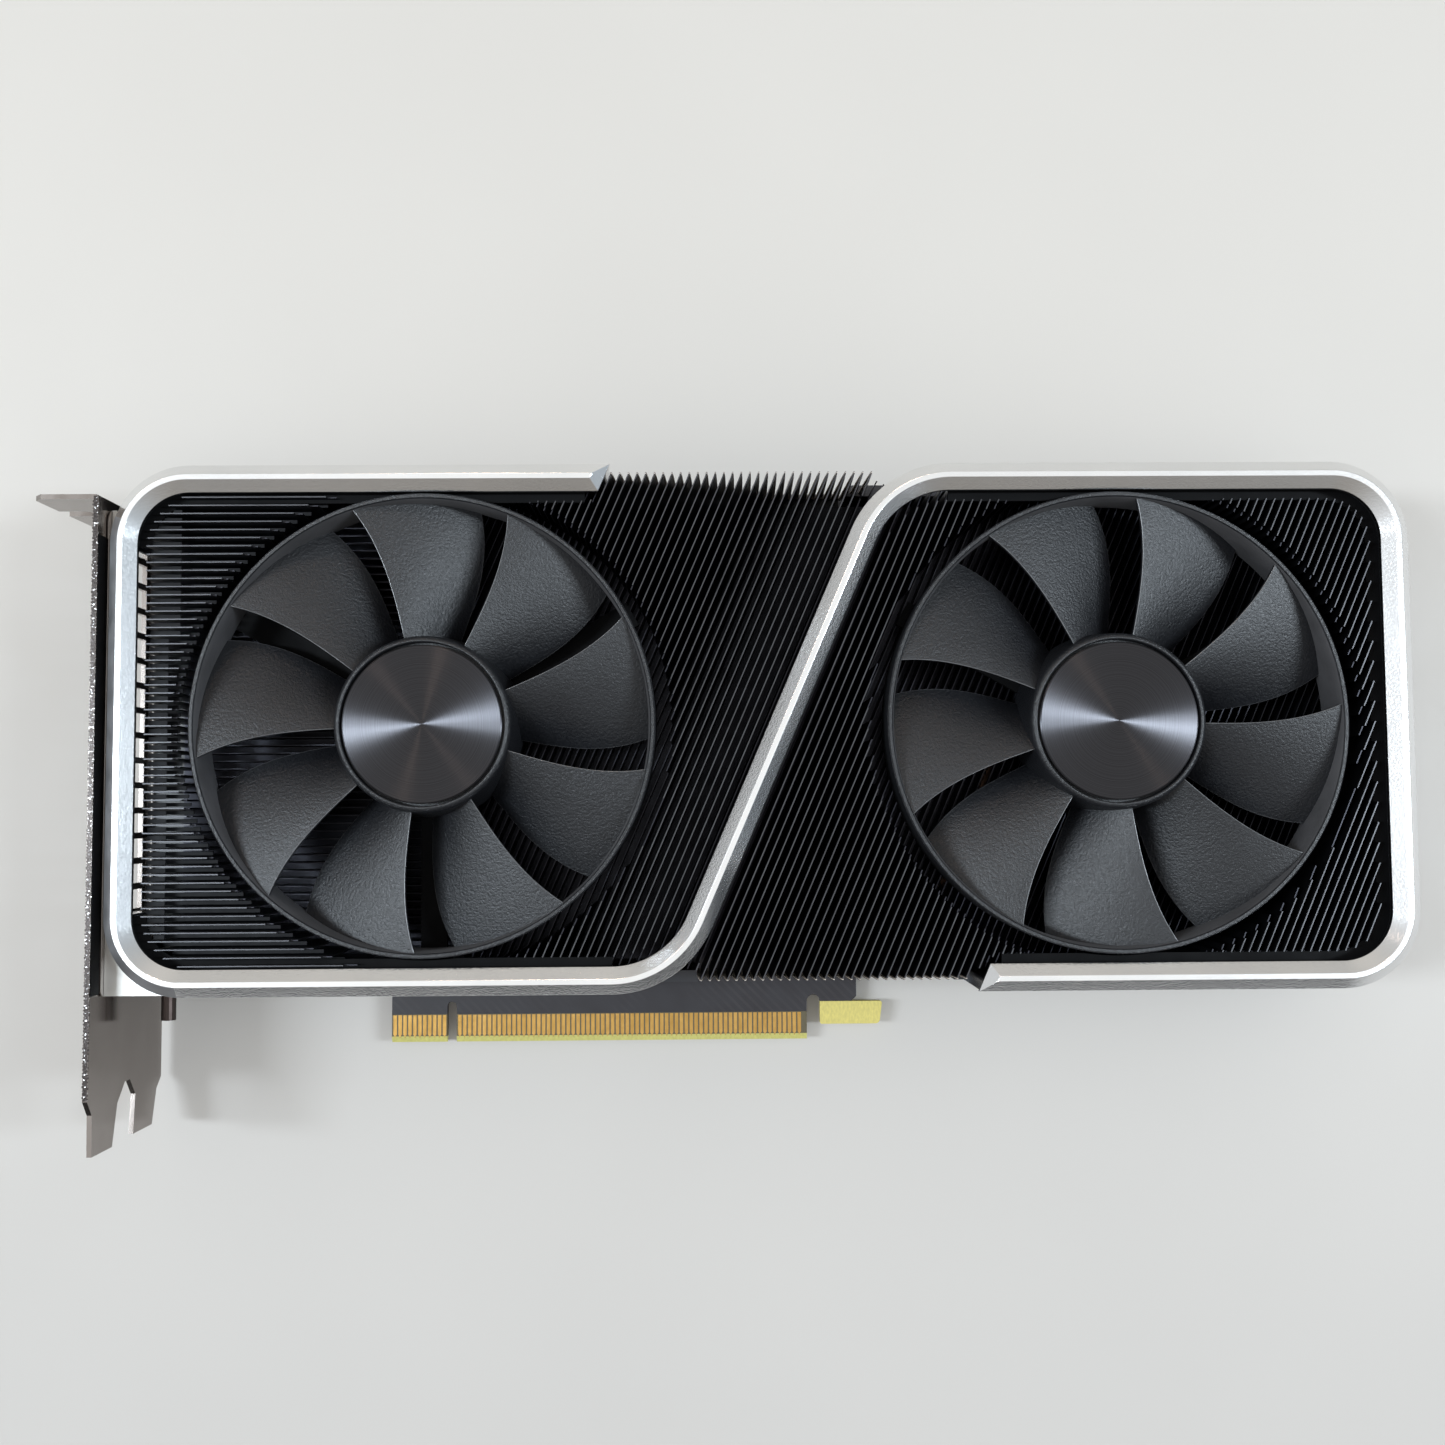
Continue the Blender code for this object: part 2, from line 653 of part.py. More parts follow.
def components(parent):
    seat = COMPONENT_SEAT
    side = (SUBSTRATE_SIDE, SUBSTRATE_SIDE)
    package("gpu_substrate", PROCESSOR, side, seat, PACKAGE_TOP, solder_mask(), parent)
    package("gpu_die", PROCESSOR, DIE_SIZE, DIE_LOW, DIE_HIGH, steel(), parent)
    for number, place in enumerate(CHIP_PLACES, 1):
        package(f"memory_chip_{number}", place, CHIP_SIZE, seat, PACKAGE_TOP, silicon(), parent)
    for number, row in enumerate(CHOKE_ROWS, 1):
        package(f"power_choke_{number}", (CHOKE_COLUMN, row), (CHOKE_SIDE, CHOKE_SIDE),
                seat, CHOKE_TOP, silicon(), parent)
    for number, row in enumerate(CAPACITOR_ROWS, 1):
        can = [(0, seat), (CAPACITOR_RADIUS, seat),
               (CAPACITOR_RADIUS, CAPACITOR_TOP - CAPACITOR_ROUND),
               (CAPACITOR_RADIUS - CAPACITOR_ROUND, CAPACITOR_TOP), (0, CAPACITOR_TOP)]
        obj = object_from(f"capacitor_{number}", turned(can, 20))
        obj.location = (CAPACITOR_COLUMN, row, 0)
        finish(obj, steel(), parent, smooth=True)


def video_sockets(parent):
    """Three wide digital sockets and one narrower one, each with its contact tongue."""
    front = BRACKET_INNER + GAP
    low = COMPONENT_SEAT
    high = low + SOCKET_HEIGHT
    wall = SOCKET_WALL
    chamfer = SOCKET_CHAMFER
    tongue_start, tongue_end = SOCKET_TONGUE
    tongue_low, tongue_high = SOCKET_TONGUE_HEIGHTS
    for number, width in enumerate(SOCKET_SIZES, 1):
        middle = SOCKET_FIRST + (number - 1) * SOCKET_PITCH
        shell = block(front, front + SOCKET_DEPTH, middle - width / 2, middle + width / 2,
                      low, high)
        obj = object_from(f"video_socket_{number}", shell)
        mouth = width / 2 - wall
        outline = [(middle - mouth, high - wall), (middle - mouth, low + wall + chamfer),
                   (middle - mouth + chamfer, low + wall),
                   (middle + mouth - chamfer, low + wall),
                   (middle + mouth, low + wall + chamfer), (middle + mouth, high - wall)]
        boolean(obj, prism(outline, front - OVERCUT, front + SOCKET_MOUTH_DEPTH, "X"),
                "DIFFERENCE")
        tongue_half = mouth * SOCKET_TONGUE_SHARE
        tongue = block(front + tongue_start, front + tongue_end, middle - tongue_half,
                       middle + tongue_half, low + tongue_low, low + tongue_high)
        boolean(obj, tongue, "UNION")
        finish(obj, steel(), parent)


def power_connector(parent):
    """Socket with two rows of six pin cavities, facing the top edge."""
    low = COMPONENT_SEAT
    shell = block(POWER_LEFT, POWER_LEFT + POWER_WIDTH, POWER_START, POWER_FACE,
                  low, low + POWER_HEIGHT)
    obj = object_from("power_connector", shell)
    cavities = bmesh.new()
    half = PIN_SIDE / 2
    for row in range(PIN_ROWS):
        for column in range(PIN_COLUMNS):
            x = POWER_LEFT + POWER_WIDTH / 2 + (column - (PIN_COLUMNS - 1) / 2) * PIN_PITCH
            z = low + POWER_HEIGHT / 2 + (row - (PIN_ROWS - 1) / 2) * PIN_PITCH
            hole = rectangle(x - half, x + half, z - half, z + half)
            add_prism(cavities, hole, POWER_FACE - PIN_DEPTH, POWER_FACE + OVERCUT, "Y")
    boolean(obj, cavities, "DIFFERENCE")
    finish(obj, black_plastic(), parent)


# ---------------------------------------------------------------- heat sink

def cold_plate(parent):
    width, depth = COLD_PLATE_SIZE
    left = PROCESSOR.x - width / 2
    low = PROCESSOR.y - depth / 2
    corners = rectangle(left, left + width, low, low + depth)
    outline = rounded(corners, [COLD_PLATE_CORNER] * 4, 3, closed=True)
    obj = object_from("cold_plate", prism(outline, COLD_PLATE_LOW, COLD_PLATE_HIGH))
    finish(obj, copper(), parent)


def heat_pipes(parent):
    """Four flattened pipes from the cold plate to the fins of the right fan."""
    half = PIPE_WIDTH / 2
    corner = PIPE_CORNER
    profile = [(-half, PIPE_LOW + corner), (-half + corner, PIPE_LOW),
               (half - corner, PIPE_LOW), (half, PIPE_LOW + corner),
               (half, PIPE_HIGH - corner), (half - corner, PIPE_HIGH),
               (-half + corner, PIPE_HIGH), (-half, PIPE_HIGH - corner)]
    for number in range(PIPE_COUNT):
        rank = number - (PIPE_COUNT - 1) / 2
        near = LEFT_FAN.y + rank * PIPE_SPREAD
        far = LEFT_FAN.y + rank * PIPE_FAR_SPREAD
        corners = [(PIPE_START, near), (PIPE_SPREAD_START, near), (PIPE_SPREAD_END, far),
                   (PIPE_END, far)]
        path = rounded(corners, [0, PIPE_BEND_RADIUS, PIPE_BEND_RADIUS, 0], 4, closed=False)
        bm, _ = sweep(path, profile)
        obj = object_from(f"heat_pipe_{number + 1}", bm)
        finish(obj, copper(), parent)


def lean_x(middle, y):
    """X of a line parallel to the diagonal that passes the fans' height at middle."""
    return middle + (y - LEFT_FAN.y) * LEAN


def lean_strip(left, right, low_y, high_y):
    """Outline between two lines that are parallel to the diagonal."""
    return [(lean_x(left, low_y), low_y), (lean_x(right, low_y), low_y),
            (lean_x(right, high_y), high_y), (lean_x(left, high_y), high_y)]


def cavity_outline():
    """Space inside the walls of the frame, as a rounded rectangle."""
    inset = WALL_THICKNESS + GAP
    corners = rectangle(FRAME_LEFT + inset, FRAME_RIGHT - inset,
                        FRAME_BOTTOM + inset, FRAME_TOP - inset)
    radius = CORNER_RADIUS + RAIL_WIDTH / 2 - inset
    return rounded(corners, [radius] * 4, 6, closed=True)


def rail_clearance():
    """Space that the front rail takes from the tops of the fins."""
    half = RAIL_WIDTH / 2 + GAP
    low = RAIL_UNDERSIDE - GAP
    profile = [(-half, low), (half, low), (half, RIDGE_HEIGHT), (-half, RIDGE_HEIGHT)]
    bm, _ = sweep(rail_path(RAIL_ARC_STEPS), profile)
    return bm


def fan_pocket(centre):
    bm = cylinder(POCKET_RADIUS, POCKET_FLOOR, RIDGE_HEIGHT + OVERCUT, 36)
    bmesh.ops.translate(bm, verts=bm.verts, vec=centre)
    return bm


def lead_channel(fan):
    """Way down through the fins for one fan's lead."""
    x = fan.x + LEAD_OFFSET
    return block(x - LEAD_CHANNEL_HALF, x + LEAD_CHANNEL_HALF, FRAME_BOTTOM,
                 LEAD_DROP + LEAD_CHANNEL_DEPTH, LEAD_CHANNEL_LOW, COVER_ALL)


def row_fins(parent):
    """Fins along the card at the bracket end, one comb on one base."""
    def edge(y):
        return lean_x(LEFT_FAN.x - GAP, y)

    low = LEFT_FAN.y - (ROW_COUNT / 2) * ROW_PITCH
    high = LEFT_FAN.y + (ROW_COUNT / 2) * ROW_PITCH
    base = [(FIN_LEFT, low), (edge(low), low), (edge(high), high), (FIN_LEFT, high)]
    obj = object_from("fin_stack_left", prism(base, FIN_BASE_LOW, FIN_BASE_HIGH))
    fins = bmesh.new()
    for number in range(ROW_COUNT):
        y = low + (number + 0.5) * ROW_PITCH
        near = y - FIN_THICKNESS / 2
        far = y + FIN_THICKNESS / 2
        outline = [(FIN_LEFT + INSET, near), (edge(near) - INSET, near),
                   (edge(far) - INSET, far), (FIN_LEFT + INSET, far)]
        add_prism(fins, outline, FIN_BASE_LOW + GAP, FIN_TOP)
    boolean(obj, fins, "UNION")
    boolean(obj, prism(cavity_outline(), ROW_TRIM_LOW, COVER_ALL), "INTERSECT")
    boolean(obj, fan_pocket(LEFT_FAN), "DIFFERENCE")
    boolean(obj, rail_clearance(), "DIFFERENCE")
    finish(obj, dark_metal(), parent)


def lean_fins(name, first, last, base_low, base_high, low, high, cutters, parent):
    """Fins parallel to the diagonal, with lines numbered from the left fan's middle."""
    start = LEFT_FAN.x + GAP + first * LEAN_PITCH
    end = LEFT_FAN.x + last * LEAN_PITCH - GAP
    base = lean_strip(start, end, FIN_LOW_EDGE, FIN_HIGH_EDGE)
    obj = object_from(name, prism(base, base_low, base_high))
    fins = bmesh.new()
    half = FIN_THICKNESS / 2 / math.cos(LEAN_ANGLE)
    for number in range(first, last):
        middle = LEFT_FAN.x + (number + 0.5) * LEAN_PITCH
        outline = lean_strip(middle - half, middle + half, FIN_LOW_EDGE + INSET,
                             FIN_HIGH_EDGE - INSET)
        add_prism(fins, outline, low, high)
    boolean(obj, fins, "UNION")
    boolean(obj, prism(cavity_outline(), STACK_TRIM_LOW, COVER_ALL), "INTERSECT")
    for cutter in cutters:
        boolean(obj, cutter, "DIFFERENCE")
    finish(obj, dark_metal(), parent)


def heat_sink(parent):
    split = round((STACK_SPLIT - LEFT_FAN.x) / LEAN_PITCH)
    far_side = FRAME_RIGHT + (LEFT_FAN.y - FRAME_BOTTOM) * LEAN
    last = int((far_side - LEFT_FAN.x) / LEAN_PITCH) - 1
    inside_base = FIN_BASE_LOW + GAP
    cold_plate(parent)
    heat_pipes(parent)
    row_fins(parent)
    lean_fins("fin_stack_middle", 0, split, FIN_BASE_LOW, FIN_BASE_HIGH, inside_base, FIN_TOP,
              (fan_pocket(LEFT_FAN), fan_pocket(RIGHT_FAN), rail_clearance(),
               lead_channel(LEFT_FAN)), parent)
    lean_fins("fin_stack_right", split, last, FIN_BASE_LOW, FIN_BASE_HIGH, inside_base,
              FIN_TOP, (fan_pocket(RIGHT_FAN), rail_clearance(), lead_channel(RIGHT_FAN)),
              parent)
    lean_fins("fin_stack_rear", split, last, REAR_FIN_BASE, REAR_FIN_TOP,
              REAR_LIP_HEIGHT + GAP, REAR_FIN_TOP - GAP, (), parent)


# ---------------------------------------------------------------- fans

def blade_grid(bm, turn, lift):
    """Vertices of one side of a blade, as rows from the hub wall to the ring."""
    inner = HUB_RADIUS - HUB_WALL / 2
    outer = RING_RADIUS - RING_THICKNESS / 2
    grid = []
    for i in range(BLADE_RADIAL_STEPS + 1):
        reach = i / BLADE_RADIAL_STEPS
        radius = inner + (outer - inner) * reach
        lead = BLADE_LEAD_ANGLE + BLADE_LEAD_GAIN * reach ** BLADE_LEAD_POWER + turn
        high = BLADE_HIGH + BLADE_HIGH_GAIN * reach + lift
        drop = BLADE_DROP - BLADE_DROP_LOSS * reach
        row = []
        for j in range(BLADE_CHORD_STEPS + 1):
            along = j / BLADE_CHORD_STEPS
            angle = lead - BLADE_SWEEP * along
            height = high - drop * (0.6 * along + 0.4 * along ** 2)
            place = (radius * math.cos(angle), radius * math.sin(angle), height)
            row.append(bm.verts.new(place))
        grid.append(row)
    return grid


def blade(bm, turn):
    """One blade from the hub wall to the ring: its raised edge leads as the fan spins."""
    radial = BLADE_RADIAL_STEPS
    chord = BLADE_CHORD_STEPS
    upper = blade_grid(bm, turn, 0.0)
    lower = blade_grid(bm, turn, -BLADE_THICKNESS)
    for grid in (upper, lower):
        for i in range(radial):
            for j in range(chord):
                bm.faces.new((grid[i][j], grid[i + 1][j], grid[i + 1][j + 1], grid[i][j + 1]))
    loops = [[(i, 0) for i in range(radial + 1)],
             [(radial, j) for j in range(chord + 1)],
             [(i, chord) for i in range(radial, -1, -1)],
             [(0, j) for j in range(chord, -1, -1)]]
    for loop in loops:
        for (a, b), (c, d) in zip(loop, loop[1:]):
            bm.faces.new((upper[a][b], upper[c][d], lower[c][d], lower[a][b]))


def rotor_mesh():
    """Hub, nine blades and outer ring as one moulding."""
    inner = HUB_RADIUS - HUB_WALL
    bore = SHAFT_RADIUS + GAP
    hub = [(bore, HUB_FLOOR_LOW), (inner, HUB_FLOOR_LOW), (inner, HUB_LOW),
           (HUB_RADIUS, HUB_LOW), (HUB_RADIUS, HUB_RIM), (inner, HUB_RIM),
           (inner, HUB_FLOOR_HIGH), (bore, HUB_FLOOR_HIGH)]
    ring_inner = RING_RADIUS - RING_THICKNESS
    ring = [(ring_inner, RING_LOW), (RING_RADIUS, RING_LOW), (RING_RADIUS, RING_HIGH),
            (ring_inner, RING_HIGH)]
    obj = object_from("rotor", turned(hub, 36))
    blades = bmesh.new()
    for number in range(BLADE_COUNT):
        blade(blades, 2 * math.pi * number / BLADE_COUNT)
    boolean(obj, blades, "UNION")
    boolean(obj, turned(ring, 45), "UNION")
    mesh = obj.data
    bpy.data.objects.remove(obj, do_unlink=True)
    return mesh


def stator_outline():
    """Nine T-shaped poles round a hub, as one closed outline."""
    neck = POLE_NECK
    outline = []
    for pole in range(POLE_COUNT):
        for share, radius in ((-0.12, POLE_ROOT), (-0.10, neck), (-0.40, neck),
                              (-0.40, POLE_TIP), (0.40, POLE_TIP), (0.40, neck),
                              (0.10, neck), (0.12, POLE_ROOT)):
            angle = 2 * math.pi * (pole + share) / POLE_COUNT
            outline.append((radius * math.cos(angle), radius * math.sin(angle)))
    return outline


def fan_base_bm():
    return cylinder(FAN_BASE_RADIUS, FAN_BASE_LOW, FAN_BASE_HIGH, 28)


def fan_arms_bm():
    """Three arms from the base disc to the rim of the pocket."""
    bm = bmesh.new()
    for number in range(ARM_COUNT):
        angle = -math.pi / 2 + 2 * math.pi * number / ARM_COUNT
        turn = Matrix.Rotation(angle, 2)
        corners = rectangle(ARM_START, ARM_REACH, -ARM_WIDTH / 2, ARM_WIDTH / 2)
        outline = [tuple(turn @ Vector(corner)) for corner in corners]
        add_prism(bm, outline, FAN_BASE_LOW + INSET, FAN_BASE_HIGH - INSET)
    return bm


def catmull_rom(route, steps):
    """Points of a smooth curve through the points of a route."""
    points = []
    padded = [2 * route[0] - route[1], *route, 2 * route[-1] - route[-2]]
    for a, b, c, d in zip(padded, padded[1:], padded[2:], padded[3:]):
        for step in range(steps):
            t = step / steps
            points.append(0.5 * (2 * b + (c - a) * t + (2 * a - 5 * b + 4 * c - d) * t ** 2
                                 + (3 * b - a - 3 * c + d) * t ** 3))
    points.append(route[-1])
    return points


def lead(name, route, parent):
    """Fan lead as a round tube along its route."""
    points = catmull_rom([Vector(point) for point in route], 2)
    curve = bpy.data.curves.new(name, "CURVE")
    curve.dimensions = "3D"
    curve.bevel_depth = LEAD_RADIUS
    curve.bevel_resolution = 2
    curve.use_fill_caps = True
    spline = curve.splines.new("POLY")
    spline.points.add(len(points) - 1)
    for spline_point, point in zip(spline.points, points):
        spline_point.co = (*point, 1.0)
    curve.materials.append(black_plastic())
    obj = bpy.data.objects.new(name, curve)
    bpy.context.scene.collection.objects.link(obj)
    obj.parent = parent


def lead_start(x):
    """Route from a fan's base, beside its arm, to the channel through the fins."""
    high = FAN_BASE_HIGH - 0.0004
    start = LEFT_FAN.y - FAN_BASE_RADIUS + GAP
    return [(x, start, high), (x, 0.0380, high), (x, 0.0270, high),
            (x, 0.0215, high - 0.0004), (x, 0.0189, high - 0.0024),
            (x, LEAD_DROP, high - 0.0056)]


def fan_leads(parent):
    """Each fan's lead runs beside an arm, drops through the fins and ends in a header."""
    plug = HEADER_TOP + GAP
    near = LEFT_FAN.x + LEAD_OFFSET
    lead("left_fan_lead", lead_start(near) + [
        (near, LEAD_DROP, 0.0130), (near, LEAD_DROP, plug)], parent)
    header("left_fan_header", near, parent)
    far = RIGHT_FAN.x + LEAD_OFFSET
    level = LEAD_LEVEL
    header_x = RIGHT_HEADER_X
    lead("right_fan_lead", lead_start(far) + [
        (far - 0.0006, LEAD_DROP, 0.0146), (far - 0.0036, LEAD_DROP, level),
        (far - 0.0120, LEAD_DROP, level), (0.1000, LEAD_DROP, level),
        (0.0840, LEAD_DROP, level), (header_x + 0.0034, LEAD_DROP, level),
        (header_x + 0.0008, LEAD_DROP, level - 0.0012), (header_x, LEAD_DROP, plug)], parent)
    header("right_fan_header", header_x, parent)


def header(name, x, parent):
    obj = object_from(name, block(x - HEADER_HALF, x + HEADER_HALF, LEAD_DROP - HEADER_BEFORE,
                                  LEAD_DROP + HEADER_AFTER, COMPONENT_SEAT, HEADER_TOP))
    finish(obj, black_plastic(), parent)


def fan(side, centre, turn, rotor, parent):
    """One fan: base, bearing and stator stand still, the rest turns about the axis."""
    axis = empty(f"{side}_fan_axis", centre, parent)
    base = object_from(f"{side}_fan_base", fan_base_bm())
    boolean(base, fan_arms_bm(), "UNION")
    finish(base, black_plastic(), axis)
    bore = SHAFT_RADIUS + GAP
    tube = [(bore, BEARING_LOW), (BEARING_RADIUS, BEARING_LOW),
            (BEARING_RADIUS, BEARING_HIGH), (bore, BEARING_HIGH)]
    finish(object_from(f"{side}_fan_bearing", turned(tube, 20)), steel(), axis, smooth=True)
    stator = object_from(f"{side}_fan_stator", prism(stator_outline(), STATOR_LOW, STATOR_HIGH))
    boolean(stator, cylinder(STATOR_BORE, STATOR_LOW - OVERCUT, STATOR_HIGH + OVERCUT, 20),
            "DIFFERENCE")
    finish(stator, copper(), axis)

    spinner = empty(f"{side}_fan_spinner", (0, 0, 0), axis)
    spinner.rotation_euler.z = turn
    body = bpy.data.objects.new(f"{side}_rotor", rotor)
    bpy.context.scene.collection.objects.link(body)
    finish(body, black_plastic(), spinner, smooth=True)
    cap_low = HUB_FLOOR_HIGH + GAP
    disc = [(0, cap_low), (CAP_RADIUS, cap_low), (CAP_RADIUS, CAP_TOP - CAP_BEVEL),
            (CAP_RADIUS - CAP_BEVEL, CAP_TOP), (0, CAP_TOP)]
    finish(object_from(f"{side}_hub_cap", turned(disc, 36)), dark_metal(), spinner, smooth=True)
    pin = cylinder(SHAFT_RADIUS, SHAFT_LOW, HUB_FLOOR_HIGH - INSET, 20)
    finish(object_from(f"{side}_shaft", pin), steel(), spinner, smooth=True)
    outer = HUB_RADIUS - HUB_WALL - GAP
    magnet = [(MAGNET_INNER, MAGNET_LOW), (outer, MAGNET_LOW), (outer, MAGNET_HIGH),
              (MAGNET_INNER, MAGNET_HIGH)]
    finish(object_from(f"{side}_magnet_ring", turned(magnet, 24)), silicon(), spinner,
           smooth=True)


# ---------------------------------------------------------------- bracket

def bracket_outline():
    """Side view of the bracket plate as (Y, Z): two tongues and their fork at the bottom."""
    return [
        (BRACKET_TOP - BRACKET_STEP, BRACKET_FAR), (BRACKET_TOP - BRACKET_STEP, BRACKET_NEAR),
        (-0.0047, BRACKET_NEAR),
        (-0.0075, 0.0361), (-0.0150, 0.0359), (TONGUE_TIP, 0.0268), (-0.0075, 0.0246),
        (TONGUE_FORK, 0.0212), (TONGUE_FORK, 0.0188), (-0.0075, 0.0160), (-0.0150, 0.0168),
        (TONGUE_TIP, 0.0073), (-0.0085, 0.0051), (-0.0065, BRACKET_FAR),
    ]


def tab_outline():
    """Screw tab as (X, Z), with a slot that is open at its free end."""
    half = SCREW_SLOT_WIDTH / 2
    root = TAB_END + SLOT_DEPTH
    slot = []
    for step in range(7):
        angle = math.pi / 2 - math.pi * step / 6
        slot.append((root + half * math.cos(angle), SCREW_SLOT_HEIGHT + half * math.sin(angle)))
    slot = [(TAB_END, SCREW_SLOT_HEIGHT + half)] + slot + [(TAB_END, SCREW_SLOT_HEIGHT - half)]
    start = BRACKET_INNER - BRACKET_THICKNESS / 2
    near = BRACKET_NEAR - INSET
    corner_x, corner_z = TAB_LOW_CORNER
    return [(start, near), (TAB_END + TAB_CORNER, near), (TAB_END, near - TAB_CORNER)] + slot + [
        (TAB_END, TAB_LOW + corner_z), (TAB_END + corner_x, TAB_LOW), (start, TAB_LOW)]


def bracket(parent):
    outer = BRACKET_INNER - BRACKET_THICKNESS
    before = outer - OVERCUT
    behind = BRACKET_INNER + OVERCUT
    obj = object_from("bracket", prism(bracket_outline(), outer, BRACKET_INNER, "X"))
    tab = prism(tab_outline(), BRACKET_TOP - BRACKET_THICKNESS, BRACKET_TOP, "Y")
    boolean(obj, tab, "UNION")
    cuts = bmesh.new()
    for number in range(VENT_COUNT):
        middle = VENT_FIRST + number * VENT_PITCH
        slot = rectangle(middle - VENT_WIDTH / 2, middle + VENT_WIDTH / 2, VENT_LOW, VENT_HIGH)
        add_prism(cuts, slot, before, behind, "X")
    for number, width in enumerate(SOCKET_SIZES):
        middle = SOCKET_FIRST + number * SOCKET_PITCH
        slot = rectangle(middle - width / 2, middle + width / 2, COMPONENT_SEAT,
                         COMPONENT_SEAT + SOCKET_HEIGHT)
        add_prism(cuts, slot, before, behind, "X")
    boolean(obj, cuts, "DIFFERENCE")
    for row in BRACKET_SCREW_ROWS:
        boolean(obj, along_x(SCREW_HOLE_RADIUS, before, behind, row), "DIFFERENCE")
    finish(obj, nickel(), parent)


def bracket_screws(parent):
    """Pan-head screws that hold the bracket to the rear frame."""
    outer = BRACKET_INNER - BRACKET_THICKNESS - GAP
    for number, row in enumerate(BRACKET_SCREW_ROWS, 1):
        obj = object_from(f"bracket_screw_{number}",
                          along_x(SCREW_HEAD_RADIUS, outer - SCREW_HEAD_HEIGHT, outer, row))
        stem = along_x(SCREW_RADIUS, outer - SCREW_HEAD_HEIGHT / 2, REAR_LEFT + 0.002, row)
        boolean(obj, stem, "UNION")
        finish(obj, steel(), parent, smooth=True)


def bracket_flange(parent):
    """Square-cornered shoulder between the bracket and the rounded frame."""
    centre = Vector((FRAME_LEFT, FRAME_BOTTOM)) + Vector((1, 1)) * (CORNER_RADIUS
                                                                    + RAIL_WIDTH / 2)
    reach = CORNER_RADIUS + RAIL_WIDTH / 2 + GAP
    start = math.acos((centre.y - FRAME_BOTTOM) / reach)
    arc = []
    for step in range(7):
        angle = -math.pi / 2 - start - (math.pi / 2 - start) * step / 6
        arc.append((centre.x + reach * math.cos(angle), centre.y + reach * math.sin(angle)))
    high = RAIL_UNDERSIDE - GAP
    corner = [(REAR_LEFT, FRAME_BOTTOM)] + arc + [(REAR_LEFT, centre.y)]
    obj = object_from("bracket_flange", prism(corner, SPLIT_HEIGHT + GAP, high))
    strip = block(REAR_LEFT, centre.x - reach - 0.00001, centre.y - FLANGE_OVERLAP, FLANGE_TOP,
                  FLANGE_STRIP_LOW, high - HAIR)
    boolean(obj, strip, "UNION")
    finish(obj, silver(), parent)


def locating_post(parent):
    """Round pin under the frame next to the bracket."""
    pin = cylinder(POST_RADIUS, 0, POST_LENGTH, 16)
    turn = (Matrix.Translation((POST_X, FRAME_BOTTOM - GAP, POST_HEIGHT))
            @ Matrix.Rotation(math.pi / 2, 4, "X"))
    bmesh.ops.transform(pin, matrix=turn, verts=pin.verts)
    finish(object_from("locating_post", pin), nickel(), parent, smooth=True)


def build():
    clear_scene()
    datum = empty("card_datum", -FOOTPRINT_MIDDLE, None)
    front_frame(datum)
    rear_frame(datum)
    backplate(datum)
    backplate_screws(datum)
    circuit_board(datum)
    components(datum)
    video_sockets(datum)
    power_connector(datum)
    heat_sink(datum)
    rotor = rotor_mesh()
    fan("left", LEFT_FAN, 0.0, rotor, datum)
    fan("right", RIGHT_FAN, RIGHT_FAN_TURN, rotor, datum)
    fan_leads(datum)
    bracket(datum)
    bracket_screws(datum)
    bracket_flange(datum)
    locating_post(datum)


build()
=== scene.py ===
"""Looks of a graphics card with two fans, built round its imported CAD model.

Lengths are in millimetres, in card coordinates: X from the key notch of the edge
connector, Y from the tips of its contacts, Z from the surface that the back rests on.
"""
import math

import bmesh
import bpy
import numpy as np
from mathutils import Matrix, Vector


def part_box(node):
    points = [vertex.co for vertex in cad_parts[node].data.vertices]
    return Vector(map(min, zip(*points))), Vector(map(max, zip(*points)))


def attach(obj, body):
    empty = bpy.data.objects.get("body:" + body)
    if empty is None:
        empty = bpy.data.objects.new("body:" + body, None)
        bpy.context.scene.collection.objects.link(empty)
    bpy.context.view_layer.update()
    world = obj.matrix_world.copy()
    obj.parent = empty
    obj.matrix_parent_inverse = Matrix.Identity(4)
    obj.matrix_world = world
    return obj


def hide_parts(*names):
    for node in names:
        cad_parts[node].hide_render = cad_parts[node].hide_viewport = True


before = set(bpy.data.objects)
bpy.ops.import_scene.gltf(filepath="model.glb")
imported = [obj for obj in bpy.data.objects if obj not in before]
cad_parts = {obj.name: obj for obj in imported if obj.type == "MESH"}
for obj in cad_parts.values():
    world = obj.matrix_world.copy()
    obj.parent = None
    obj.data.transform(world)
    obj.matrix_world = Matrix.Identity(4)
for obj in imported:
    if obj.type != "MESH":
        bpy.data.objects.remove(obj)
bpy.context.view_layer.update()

MM = 0.001
BOARD_LEFT_OF_KEY = 56.0
board_low, board_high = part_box("circuit_board")
ORIGIN = Vector((board_low.x + BOARD_LEFT_OF_KEY * MM, board_low.y, 0.0))
TO_WORLD = Matrix.Translation(ORIGIN) @ Matrix.Scale(MM, 4)


def local_box(node):
    """Lowest and highest corner of a CAD node, in card coordinates."""
    low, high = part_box(node)
    return (low - ORIGIN) / MM, (high - ORIGIN) / MM


def middle(node):
    low, high = local_box(node)
    return (low + high) / 2


FRAME_LOW, FRAME_HIGH = local_box("front_frame")
LEFT, BOTTOM = FRAME_LOW.x, FRAME_LOW.y
RIGHT, TOP, RIDGE = FRAME_HIGH
LEFT_FAN = middle("left_hub_cap")
RIGHT_FAN = middle("right_hub_cap")
FIN_LOW, FIN_TOP = (corner.z for corner in local_box("fin_stack_middle"))
FIN_LEFT = local_box("fin_stack_left")[0].x


def disc_sizes(node):
    """Radius, lowest and highest Z of a round node."""
    low, high = local_box(node)
    return (high.x - low.x) / 2, low.z, high.z


